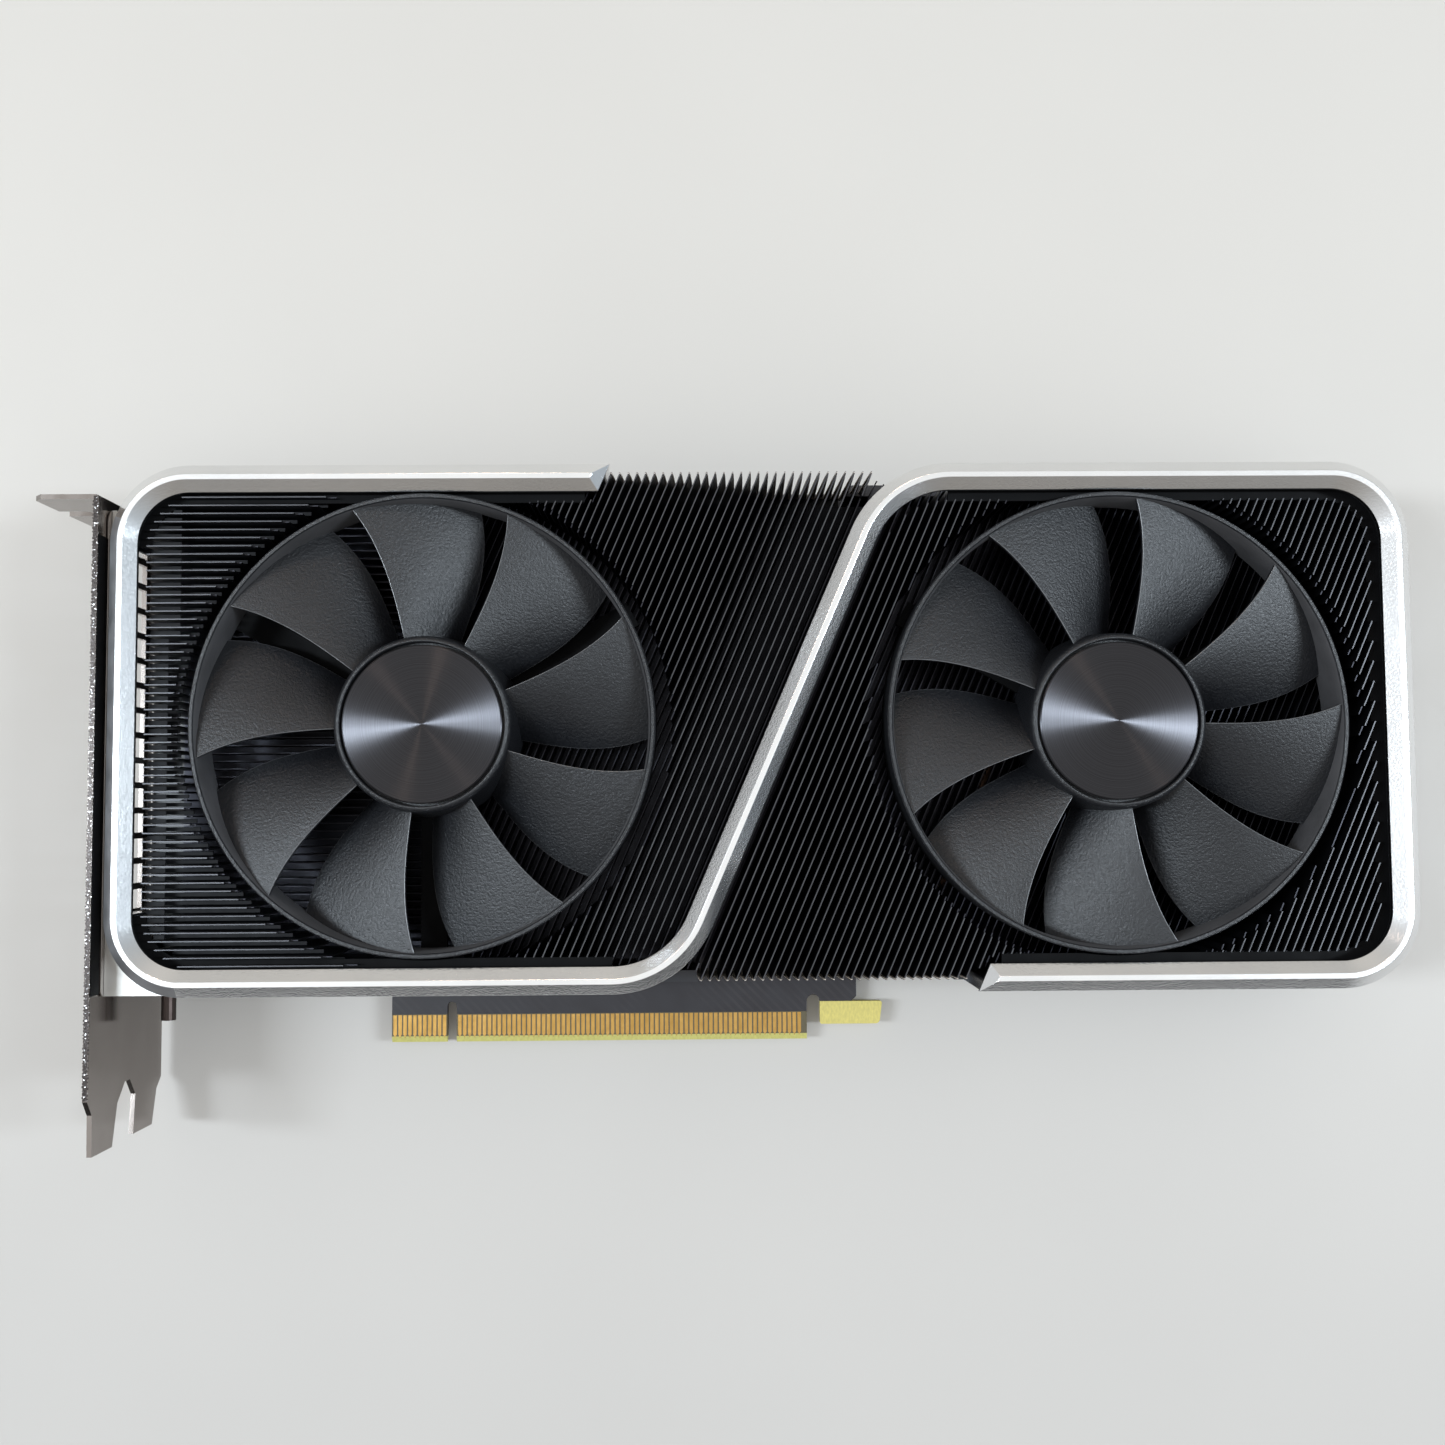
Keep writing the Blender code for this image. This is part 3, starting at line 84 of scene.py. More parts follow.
RING_RADIUS, HUB_LOW, HUB_RIM = disc_sizes("left_rotor")
CAP_RADIUS, CAP_LOW, CAP_TOP = disc_sizes("left_hub_cap")

RAIL_WIDTH = 5.05
RAIL_CHAMFER = 2.05
RAIL_UNDERSIDE = 33.3
RAIL_LIP = 35.7           # lower edge of the bright part of the rail
BEZEL_LOW, BEZEL_HIGH = 32.9, 33.25     # black sheet under the rail
BEZEL_REACH = 1.45
END_RELIEF = 3.8          # length of the rail's ends without a dip of the fins beside it
CORNER_RADIUS = 12.0
BEND_RADIUS = 17.7
ARC_STEPS = 22
LEAN_ANGLE = math.radians(23.4)
LEAN = math.tan(LEAN_ANGLE)
LEAN_DIRECTION = (math.sin(LEAN_ANGLE), math.cos(LEAN_ANGLE))
DIAGONAL_FOOT = 46.0
TOP_RAIL_END = 33.2
BOTTOM_RAIL_END = 102.45
WALL_THICKNESS = 2.2
SPLIT_HEIGHT = 18.3
RAIL_LEFT = LEFT + RAIL_WIDTH / 2
RAIL_RIGHT = RIGHT - RAIL_WIDTH / 2
RAIL_BOTTOM = BOTTOM + RAIL_WIDTH / 2
RAIL_TOP = TOP - RAIL_WIDTH / 2
DIAGONAL_HEAD = DIAGONAL_FOOT + (RAIL_TOP - RAIL_BOTTOM) * LEAN

FIN_THICKNESS = 0.21
ROW_PITCH = 1.514
ROW_COUNT = 58
LOWEST_ROW = 18.9         # Y of the fin along the card nearest to the contacts
LEAN_PITCH = 1.62
LEAN_NUMBERS = range(-11, 121)    # the leaning fins, counted from STACK_SIDE
POCKET_RADIUS = 45.5
POCKET_FLOOR = 20.5
FOLD_SHIFT_HEIGHT = 78.0  # Y under which the folded edges of the row fins are shorter
HIGH_FOLDS = 33.1, 33.4   # lowest and highest Z of the two rows of folds
DEEP_FOLDS = 31.0, 31.3
BASE_THICKNESS = 0.5      # sheet that joins the fins of a stack
STACK_SIDE = 3.0          # X where the fins along the card meet the leaning ones
STACK_SPLIT = 111.0       # offset where the middle stack meets the right one
GAP_LEFT, GAP_RIGHT = 32.2, 82.5        # open stretch of the top edge
LOW_GAP_LEFT, LOW_GAP_RIGHT = 51.0, 101.0    # open stretch of the bottom edge
BLADE_COUNT = 9
BRACKET_INNER = -59.2
BRACKET_OUTER = local_box("bracket_screw_1")[0].x + 1.7
RIGHT_FAN_TURN = math.radians(-24.2)


# ---------------------------------------------------------------- materials

class Nodes:
    """Small helper that adds nodes to a material and links them."""

    def __init__(self, name):
        self.material = bpy.data.materials.new(name)
        self.material.use_nodes = True
        self.tree = self.material.node_tree
        self.shader = self.tree.nodes["Principled BSDF"]
        self.position = self.add("ShaderNodeTexCoord").outputs["Object"]

    def add(self, kind, **settings):
        node = self.tree.nodes.new(kind)
        for key, value in settings.items():
            setattr(node, key, value)
        return node

    def link(self, source, target):
        self.tree.links.new(source, target)

    def noise(self, scale, detail=3.0, stretch=None, roughness=0.55):
        """Value of a noise texture; stretch scales the position along each axis."""
        node = self.add("ShaderNodeTexNoise")
        node.inputs["Scale"].default_value = scale
        node.inputs["Detail"].default_value = detail
        node.inputs["Roughness"].default_value = roughness
        source = self.position
        if stretch:
            mapping = self.add("ShaderNodeMapping")
            mapping.inputs["Scale"].default_value = stretch
            self.link(source, mapping.inputs["Vector"])
            source = mapping.outputs["Vector"]
        self.link(source, node.inputs["Vector"])
        return node.outputs["Fac"]

    def spread(self, value, low, high, start=0.3, end=0.7):
        """Map a value from start..end to low..high, clamped."""
        node = self.add("ShaderNodeMapRange")
        node.inputs["From Min"].default_value = start
        node.inputs["From Max"].default_value = end
        node.inputs["To Min"].default_value = low
        node.inputs["To Max"].default_value = high
        self.link(value, node.inputs["Value"])
        return node.outputs["Result"]

    def blend(self, factor, first, second):
        """Colour between two colours."""
        node = self.add("ShaderNodeMix", data_type="RGBA")
        for socket, colour in ((node.inputs[6], first), (node.inputs[7], second)):
            if isinstance(colour, tuple):
                socket.default_value = (*colour, 1.0)
            else:
                self.link(colour, socket)
        self.link(factor, node.inputs[0])
        return node.outputs[2]

    def bump(self, height, strength, distance, below=None):
        node = self.add("ShaderNodeBump")
        node.inputs["Strength"].default_value = strength
        node.inputs["Distance"].default_value = distance * MM
        self.link(height, node.inputs["Height"])
        if below:
            self.link(below, node.inputs["Normal"])
        return node.outputs["Normal"]

    def set(self, **values):
        """Set or link inputs of the shader by their names, with _ for a space."""
        for key, value in values.items():
            socket = self.shader.inputs[key.replace("_", " ")]
            if isinstance(value, bpy.types.NodeSocket):
                self.link(value, socket)
            else:
                socket.default_value = value


def compute(tree, kind, operation, first, second=None, socket=1):
    """Outputs of a maths node, whose two inputs are constants or other nodes' outputs."""
    node = tree.nodes.new(f"ShaderNode{kind}")
    node.operation = operation
    for target, value in ((node.inputs[0], first), (node.inputs[socket], second)):
        if isinstance(value, bpy.types.NodeSocket):
            tree.links.new(value, target)
        elif value is not None:
            target.default_value = value
    return node.outputs


def scaled(colour, factor):
    return tuple(min(1.0, channel * factor) for channel in colour)


def plain_surface(name, colour, roughness, metallic, grain, bump, vary=0.12, **extra):
    """Base for most finishes: patchy colour, uneven gloss and a fine grain."""
    nodes = Nodes(name)
    patches = nodes.spread(nodes.noise(90.0, 4.0), 0.0, 1.0)
    nodes.set(
        Base_Color=nodes.blend(patches, scaled(colour, 1 - vary), scaled(colour, 1 + vary)),
        Roughness=nodes.spread(nodes.noise(260.0, 5.0), roughness * 0.88, roughness * 1.14),
        Metallic=metallic,
        Normal=nodes.bump(nodes.noise(grain, 2.0), bump, 0.03), **extra)
    return nodes.material


def blasted_metal():
    """Bead-blasted aluminium: bright, with a sparkling fine grain."""
    nodes = Nodes("blasted_aluminium")
    fine = nodes.noise(2600.0, 2.0)
    patches = nodes.spread(nodes.noise(60.0, 3.0), 0.0, 1.0)
    nodes.set(Base_Color=nodes.blend(patches, (0.80, 0.81, 0.82), (0.86, 0.865, 0.87)),
              Metallic=1.0, Roughness=nodes.spread(fine, 0.14, 0.20),
              Normal=nodes.bump(fine, 0.30, 0.08))
    return nodes.material


def spun_metal():
    """Dark anodised disc with circular grain round its middle."""
    nodes = Nodes("spun_aluminium")
    generated = nodes.add("ShaderNodeTexCoord").outputs["Generated"]
    centred = compute(nodes.tree, "VectorMath", "SUBTRACT", generated, (0.5, 0.5, 0.5))[0]
    flat = compute(nodes.tree, "VectorMath", "MULTIPLY", centred, (1.0, 1.0, 0.0))[0]
    radius = compute(nodes.tree, "VectorMath", "LENGTH", flat)["Value"]
    lines = nodes.add("ShaderNodeTexNoise", noise_dimensions="1D")
    lines.inputs["Scale"].default_value = 190.0
    lines.inputs["Detail"].default_value = 3.0
    nodes.link(radius, lines.inputs["W"])
    tangent = nodes.add("ShaderNodeTangent", direction_type="RADIAL", axis="Z")
    tone = nodes.spread(lines.outputs["Fac"], 0.0, 1.0)
    nodes.set(Base_Color=nodes.blend(tone, (0.036, 0.035, 0.038), (0.056, 0.056, 0.061)),
              Metallic=1.0, Roughness=0.31, Anisotropic=1.0, Anisotropic_Rotation=0.25,
              Tangent=tangent.outputs["Tangent"])
    return nodes.material


def fin_metal():
    """Black fins with a painted highlight: their colour is lighter along their upper edges."""
    nodes = Nodes("black_fins")
    split = nodes.add("ShaderNodeSeparateXYZ")
    nodes.link(nodes.position, split.inputs[0])
    top = FIN_TOP * MM
    edge = nodes.spread(split.outputs["Z"], 0.0, 1.0, top - 0.9 * MM, top - 0.2 * MM)
    patches = nodes.spread(nodes.noise(90.0, 4.0), 0.0, 1.0)
    # Lighter colour along the upper edges: painted highlight.
    highlight_tone = nodes.blend(patches, (0.052, 0.052, 0.056), (0.070, 0.070, 0.074))
    nodes.set(Base_Color=nodes.blend(edge, (0.030, 0.030, 0.035), highlight_tone), Metallic=1.0,
              Roughness=nodes.spread(nodes.noise(260.0, 5.0), 0.35, 0.46),
              Normal=nodes.bump(nodes.noise(3000.0, 2.0), 0.05, 0.03))
    return nodes.material


def moulded_plastic():
    """Black plastic with the fine spark texture of a mould."""
    nodes = Nodes("moulded_plastic")
    spark = nodes.noise(1900.0, 3.0, roughness=0.7)
    patches = nodes.spread(nodes.noise(120.0, 4.0), 0.0, 1.0)
    nodes.set(Base_Color=nodes.blend(patches, (0.0052, 0.0058, 0.0078), (0.0080, 0.0088, 0.0112)),
              Roughness=nodes.spread(spark, 0.34, 0.50), Specular_IOR_Level=0.42,
              Normal=nodes.bump(spark, 0.70, 0.22))
    return nodes.material


def nickel_plate():
    """Dark nickel on sheet steel, with faint drawing lines."""
    nodes = Nodes("dark_nickel")
    drawn = nodes.noise(420.0, 5.0, (1.0, 0.06, 1.0))
    patches = nodes.spread(nodes.noise(70.0, 4.0), 0.0, 1.0)
    nodes.set(Base_Color=nodes.blend(patches, (0.250, 0.222, 0.205), (0.298, 0.270, 0.252)),
              Metallic=1.0, Roughness=nodes.spread(drawn, 0.13, 0.20),
              Normal=nodes.bump(drawn, 0.04, 0.02))
    return nodes.material


def edge_with_painted_glints():
    """Sheet edge painted near-black as shade, with bright spots where the noise peaks as painted
    glints, over a bumpy surface.
    """
    nodes = Nodes("edge_with_painted_glints")
    rough = nodes.noise(2300.0, 3.0, (0.8, 1.0, 1.0))
    glint = nodes.spread(rough, 0.0, 1.0, 0.61, 0.70)
    nodes.set(Base_Color=nodes.blend(glint, (0.040, 0.035, 0.033), (0.92, 0.91, 0.90)),
              Metallic=1.0, Roughness=nodes.spread(rough, 0.20, 0.35),
              Normal=nodes.bump(rough, 0.25, 0.05))
    return nodes.material


def gold_plate():
    nodes = Nodes("gold_plate")
    streaks = nodes.spread(nodes.noise(900.0, 3.0, (1.0, 0.12, 1.0)), 0.0, 1.0)
    nodes.set(Base_Color=nodes.blend(streaks, (0.38, 0.218, 0.058), (0.46, 0.275, 0.086)),
              Metallic=1.0, Roughness=nodes.spread(nodes.noise(1500.0, 2.0), 0.28, 0.42))
    return nodes.material


def solder_mask():
    """Glossy black lacquer over faint parallel copper lines."""
    nodes = Nodes("solder_mask")
    wave = nodes.add("ShaderNodeTexWave", wave_type="BANDS", bands_direction="DIAGONAL")
    wave.inputs["Scale"].default_value = 320.0
    wave.inputs["Distortion"].default_value = 0.4
    nodes.link(nodes.position, wave.inputs["Vector"])
    traces = nodes.spread(wave.outputs["Fac"], 0.0, 1.0, 0.62, 0.72)
    patches = nodes.spread(nodes.noise(55.0, 3.0), 0.0, 0.55, 0.42, 0.62)
    covered = compute(nodes.tree, "Math", "MULTIPLY", traces, patches)[0]
    nodes.set(Base_Color=nodes.blend(covered, (0.016, 0.014, 0.018), (0.034, 0.029, 0.032)),
              Roughness=nodes.spread(nodes.noise(300.0, 4.0), 0.38, 0.50),
              Specular_IOR_Level=0.35,
              Normal=nodes.bump(covered, 0.25, 0.03))
    return nodes.material


def bare_laminate(name, colour):
    """Glass-fibre laminate without lacquer, with its weave."""
    nodes = Nodes(name)
    weave = nodes.noise(2400.0, 2.0, (1.0, 0.4, 1.0))
    tone = nodes.spread(weave, 0.0, 1.0)
    nodes.set(Base_Color=nodes.blend(tone, scaled(colour, 0.88), scaled(colour, 1.10)),
              Roughness=0.55, Normal=nodes.bump(weave, 0.12, 0.02))
    return nodes.material


def table_top():
    """Pale table, painted a little brighter towards the back as painted light."""
    nodes = Nodes("table_top")
    patches = nodes.spread(nodes.noise(5.0, 3.0), 0.97, 1.03)
    split = nodes.add("ShaderNodeSeparateXYZ")
    nodes.link(nodes.position, split.inputs[0])
    back = nodes.spread(split.outputs["Y"], 0.0, 1.0, -0.12, 0.12)
    shade = nodes.blend(back, (0.517, 0.500, 0.478), (0.590, 0.566, 0.530))
    nodes.set(Base_Color=compute(nodes.tree, "VectorMath", "SCALE", shade, patches, "Scale")[0],
              Roughness=nodes.spread(nodes.noise(30.0, 3.0), 0.50, 0.62),
              Specular_IOR_Level=0.25, Normal=nodes.bump(nodes.noise(700.0, 3.0), 0.03, 0.02))
    return nodes.material


SILVER = blasted_metal()
# Rougher aluminium on the chamfer next to the bracket, its colour much darker than the ribbon's:
# painted shade.
ROUGH_CHAMFER_PAINTED_SHADE = plain_surface("rough_aluminium_painted_shade", (0.36, 0.36, 0.37), 0.50, 1.0, 2600.0, 0.45, 0.05)
SPUN = spun_metal()
FINS = fin_metal()
# Inner skin of the folded ends of the fins: brownish, and far paler than the metal so that it
# stands in for light reaching these shaded ends, painted light.
FLANGES_PAINTED_LIGHT = plain_surface("fin_end_paint_and_painted_light", (0.62, 0.55, 0.49), 0.60, 0.0, 2400.0, 0.08, 0.25)
# Folded edges of the row fins, coloured far darker than the fins as painted shade between them.
FOLDS = plain_surface("folds_painted_shade", (0.0085, 0.0085, 0.010), 0.55, 0.0, 2600.0, 0.06, 0.2,
                      Specular_IOR_Level=0.12)
# Near-black sheet colour, darker than a real sheet, that stands in for shade: painted shade.
SHADE_BLACK = plain_surface("black_sheet_painted_shade", (0.0045, 0.0045, 0.005), 0.6, 0.0, 2600.0, 0.10,
                          0.2, Specular_IOR_Level=0.06)
# Bead-blasted sheet at the bracket's corner, duller than the ribbon.
FROSTED = plain_surface("frosted_sheet", (0.45, 0.44, 0.42), 0.50, 1.0, 4200.0, 0.20, 0.10)
BRONZED = plain_surface("bronzed_steel", (0.050, 0.036, 0.032), 0.48, 0.8, 1500.0, 0.08, 0.2)
MOULDED = moulded_plastic()
PLASTIC = plain_surface("black_plastic", (0.020, 0.020, 0.022), 0.42, 0.0, 1800.0, 0.08)
NICKEL = nickel_plate()
EDGE_PAINTED_GLINTS = edge_with_painted_glints()
# Rounded edges of a moulding, painted paler than its faces as a painted highlight.
EDGE_HIGHLIGHT = plain_surface("edge_painted_highlight", (0.085, 0.088, 0.094), 0.34, 0.0, 1500.0, 0.10, 0.3,
                     Specular_IOR_Level=0.8)
# Inner wall of a fan's ring, a paler copy of the moulding's black as painted light.
RING_WALL_PAINTED_LIGHT = plain_surface("ring_wall_painted_light", (0.060, 0.060, 0.064), 0.55, 0.0, 1500.0, 0.25, 0.25)
DARK_METAL = plain_surface("dark_anodised", (0.050, 0.051, 0.056), 0.42, 0.85, 2600.0, 0.10)
STEEL = plain_surface("plated_steel", (0.62, 0.62, 0.63), 0.26, 1.0, 900.0, 0.06)
COPPER = plain_surface("copper", (0.72, 0.40, 0.26), 0.30, 1.0, 700.0, 0.08)
GOLD = gold_plate()
MASK = solder_mask()
CONTACT_BASE = bare_laminate("connector_laminate", (0.085, 0.065, 0.022))
BEVEL_LAMINATE = bare_laminate("bevelled_laminate", (0.50, 0.47, 0.14))
LATCH_LAMINATE = bare_laminate("latch_laminate", (0.62, 0.53, 0.14))
CHIP = plain_surface("chip_package", (0.030, 0.030, 0.031), 0.50, 0.0, 2600.0, 0.15)
TABLE = table_top()


# ---------------------------------------------------------------- mesh helpers

def rounded(corners, radii, steps, closed):
    """Points of a path through corners, each rounded with its own radius."""
    points = []
    count = len(corners)
    for index, (corner, radius) in enumerate(zip(corners, radii)):
        here = Vector(corner)
        is_end = not closed and index in (0, count - 1)
        if radius == 0 or is_end:
            points.append(here)
            continue
        inward = (Vector(corners[index - 1]) - here).normalized()
        onward = (Vector(corners[(index + 1) % count]) - here).normalized()
        half = inward.angle(onward) / 2
        centre = here + (inward + onward).normalized() * radius / math.sin(half)
        spoke = here + inward * radius / math.tan(half) - centre
        turn = math.copysign(math.pi - 2 * half, inward.y * onward.x - inward.x * onward.y)
        for step in range(steps + 1):
            points.append(centre + Matrix.Rotation(turn * step / steps, 2) @ spoke)
    return points


def rectangle(left, right, low, high):
    return [(left, low), (right, low), (right, high), (left, high)]


def add_prism(bm, outline, low, high, axis="Z"):
    """Extrude a flat outline; the axis is the one that low and high are measured along."""
    def place(point, level):
        first, second = point
        if axis == "X":
            return (level, first, second)
        if axis == "Y":
            return (first, level, second)
        return (first, second, level)

    bottom = [bm.verts.new(place(point, low)) for point in outline]
    top = [bm.verts.new(place(point, high)) for point in outline]
    bm.faces.new(bottom)
    bm.faces.new(top)
    for index in range(len(outline)):
        after = (index + 1) % len(outline)
        bm.faces.new((bottom[index], bottom[after], top[after], top[index]))


def add_turned(bm, profile, segments, centre=(0.0, 0.0)):
    """Solid of revolution about Z of a closed profile of (radius, height) points."""
    rings = []
    for radius, height in profile:
        spokes = segments if radius > 0 else 1
        angles = [2 * math.pi * index / spokes for index in range(spokes)]
        rings.append([bm.verts.new((centre[0] + radius * math.cos(angle),
                                    centre[1] + radius * math.sin(angle), height))
                      for angle in angles])
    for lower, upper in zip(rings, rings[1:] + rings[:1]):
        if len(lower) == len(upper) == 1:
            continue
        for index in range(segments):
            after = (index + 1) % segments
            corners = [lower[index % len(lower)], lower[after % len(lower)],
                       upper[after % len(upper)], upper[index % len(upper)]]
            bm.faces.new(list(dict.fromkeys(corners)))


def add_sweep(bm, path, profile, caps=None):
    """Carry a profile of (left of travel, height) points along a flat open path.

    caps lists, for faces that close each end, the numbers of their profile points.
    """
    rows = []
    for index, point in enumerate(path):
        before = path[max(index - 1, 0)]
        after = path[min(index + 1, len(path) - 1)]
        inward = (point - before).normalized() if before != point else None
        onward = (after - point).normalized() if after != point else None
        inward = inward or onward
        onward = onward or inward
        tangent = (inward + onward).normalized()
        left = Vector((-tangent.y, tangent.x)) / tangent.dot(onward)
        places = [(*(point + left * side), height) for side, height in profile]
        rows.append([bm.verts.new(place) for place in places])
    size = len(profile)
    for row, following in zip(rows, rows[1:]):
        for index in range(size):
            after = (index + 1) % size
            bm.faces.new((row[index], row[after], following[after], following[index]))
    for row in (rows[0], rows[-1]):
        for cap in caps or (range(size),):
            bm.faces.new([row[index] for index in cap])
    return rows


def new_object(name, bm, material):
    """Object from a finished bmesh, linked to the scene."""
    mesh = bpy.data.meshes.new(name)
    bm.to_mesh(mesh)
    bm.free()
    obj = bpy.data.objects.new(name, mesh)
    bpy.context.scene.collection.objects.link(obj)
    mesh.materials.append(material)
    return obj


def piece(name, bm, material, body="chassis", replaces=(), smooth=None, bevel=0.0,
          edge=None):
    """Turn a bmesh in card coordinates into a piece that rides on a body.

    smooth is the angle in degrees under which edges are shaded smooth, and bevel the
    width of the small round along sharp edges, which takes the edge material if given.
    """
    bmesh.ops.recalc_face_normals(bm, faces=bm.faces)
    bm.transform(TO_WORLD)
    obj = new_object(name, bm, material)
    if smooth:
        obj.data.shade_smooth()
        obj.data.set_sharp_from_angle(angle=math.radians(smooth))
    if bevel:
        soften(obj, bevel)
    if edge:
        obj.data.materials.append(edge)
        obj.modifiers["edge_round"].material = 1
    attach(obj, body)
    if replaces:
        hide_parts(*replaces)
    return obj


def soften(obj, width, segments=2):
    """Round the sharp edges of an object a little, so that they catch the light."""
    bevel = obj.modifiers.new("edge_round", "BEVEL")
    bevel.width = width * MM
    bevel.segments = segments
    bevel.limit_method = "ANGLE"
    bevel.angle_limit = math.radians(32)
    bevel.use_clamp_overlap = True
    bevel.harden_normals = False


# ---------------------------------------------------------------- ribbon frame

def rail_path(steps=ARC_STEPS):
    """Middle line of the front rail: left loop, diagonal, right loop."""
    corners = [
        (TOP_RAIL_END, RAIL_TOP), (RAIL_LEFT, RAIL_TOP), (RAIL_LEFT, RAIL_BOTTOM),
        (DIAGONAL_FOOT, RAIL_BOTTOM), (DIAGONAL_HEAD, RAIL_TOP), (RAIL_RIGHT, RAIL_TOP),
        (RAIL_RIGHT, RAIL_BOTTOM), (BOTTOM_RAIL_END, RAIL_BOTTOM),
    ]
    radii = [0, CORNER_RADIUS, CORNER_RADIUS, BEND_RADIUS, BEND_RADIUS,
             CORNER_RADIUS, CORNER_RADIUS, 0]
    return rounded(corners, radii, steps, closed=False)


def slant_end(row, end_x, middle_y, setback):
    """Cut a rail's end parallel to the diagonal, with the ridge set back from the cut."""
    for vert in row:
        vert.co.x = end_x + (vert.co.y - middle_y) * LEAN
        if vert.co.z > RIDGE - 0.3:
            vert.co.x += setback


def ribbon():
    half = RAIL_WIDTH / 2
    ridge = half - RAIL_CHAMFER
    shoulder = RIDGE - RAIL_CHAMFER
    profile = [(-half, RAIL_LIP), (-half, shoulder), (-ridge, RIDGE), (ridge, RIDGE),
               (half, shoulder), (half, RAIL_LIP)]
    bm = bmesh.new()
    rows = add_sweep(bm, rail_path(), profile, ((0, 1, 4, 5), (1, 2, 3, 4)))
    setback = RAIL_CHAMFER / math.cos(LEAN_ANGLE)
    slant_end(rows[0], TOP_RAIL_END, RAIL_TOP, -setback)
    slant_end(rows[-1], BOTTOM_RAIL_END, RAIL_BOTTOM, setback)
    rail = piece("ribbon_rail", bm, SILVER, replaces=("front_frame",),
                 smooth=30, bevel=0.06)
    rail.data.materials.append(ROUGH_CHAMFER_PAINTED_SHADE)
    bracket_side = ORIGIN + Vector((LEFT + 3.0 + CORNER_RADIUS, TOP - 10.0, 0.0)) * MM
    # Faces beside the bracket that turn towards it take the darker copy, painted shade.
    for polygon in rail.data.polygons:
        is_near = polygon.center.x < bracket_side.x and polygon.center.y < bracket_side.y
        faces_bracket = is_near and polygon.normal.x < -0.03 and polygon.normal.z < 0.9
        polygon.material_index = 1 if faces_bracket else 0

    core_half = 1.5
    core = rectangle(-core_half, core_half, RAIL_UNDERSIDE, RAIL_LIP - 0.03)
    bm = bmesh.new()
    rows = add_sweep(bm, rail_path(), core)
    slant_end(rows[0], TOP_RAIL_END - 1.0, RAIL_TOP, 0)
    slant_end(rows[-1], BOTTOM_RAIL_END + 1.0, RAIL_BOTTOM, 0)
    piece("ribbon_core", bm, DARK_METAL, smooth=30)


def skirts():
    """Walls under the outer side of the ribbon, with the open window by the bracket."""
    path = rail_path()
    corner_points = ARC_STEPS + 1
    outer = RAIL_WIDTH / 2 - 0.05
    inner = RAIL_WIDTH / 2 - WALL_THICKNESS
    window_low = Vector((RAIL_LEFT, BOTTOM + 14.6))
    window_high = Vector((RAIL_LEFT, TOP - 14.6))
    bend = BEND_RADIUS * math.tan((math.pi / 2 - LEAN_ANGLE) / 2) + 1.0
    bottom_end = Vector((DIAGONAL_FOOT - bend, RAIL_BOTTOM))
    top_start = Vector((DIAGONAL_HEAD + bend, RAIL_TOP))

    def wall(bm, stretch, side, low):
        profile = [(side * outer, low), (side * inner, low), (side * inner, RAIL_LIP - 0.04),
                   (side * outer, RAIL_LIP - 0.04)]
        return add_sweep(bm, stretch, profile)

    bm = bmesh.new()
    rows = wall(bm, path[:corner_points + 1] + [window_high], -1, SPLIT_HEIGHT)
    slant_end(rows[0], TOP_RAIL_END - 0.3, RAIL_TOP, 0)
    wall(bm, [window_high, window_low], -1, 29.0)
    wall(bm, [window_low] + path[corner_points + 1:2 * corner_points + 1] + [bottom_end], -1,
         SPLIT_HEIGHT)
    piece("left_skirt", bm, SILVER, smooth=30, bevel=0.1)

    bm = bmesh.new()
    rows = wall(bm, [top_start] + path[-2 * corner_points - 1:], 1, SPLIT_HEIGHT)
    slant_end(rows[-1], BOTTOM_RAIL_END + 0.3, RAIL_BOTTOM, 0)
    piece("right_skirt", bm, SILVER, smooth=30, bevel=0.1)


def divided(path, step):
    """The same path with extra points, so that none are further apart than step."""
    points = [path[0]]
    for before, after in zip(path, path[1:]):
        parts = max(1, math.ceil((after - before).length / step))
        points += [before.lerp(after, part / parts) for part in range(1, parts + 1)]
    return points


def bezel():
    """Black sheet under the rail that hides the fins' ends along its inner side; its near-black
    colour also stands in for the shade under the rail, painted shade.
    """
    path = rail_path()
    path[0] -= Vector((END_RELIEF, 0.0))
    path[-1] += Vector((END_RELIEF, 0.0))
    corner_points = ARC_STEPS + 1
    inner = RAIL_WIDTH / 2 + BEZEL_REACH
    foot = 2 * corner_points + 1
    stretches = (
        (path[:corner_points + 1], 1),
        (path[corner_points + 1:foot + 1], 1),
        (path[foot + 2 * corner_points - 1:], -1),
    )
    bm = bmesh.new()
    for stretch, side in stretches:
        profile = [(side * 1.4, BEZEL_LOW), (side * inner, BEZEL_LOW),
                   (side * inner, BEZEL_HIGH), (side * 1.4, BEZEL_HIGH)]
        add_sweep(bm, divided(stretch, 1.5), profile)
    clear = RING_RADIUS + 0.6
    for vert in bm.verts:
        for fan_middle in (LEFT_FAN, RIGHT_FAN):
            spoke = (vert.co - fan_middle).to_2d()
            if spoke.length < clear:
                vert.co.xy = fan_middle.to_2d() + spoke.normalized() * clear
    piece("bezel", bm, SHADE_BLACK, smooth=30, bevel=0.05)


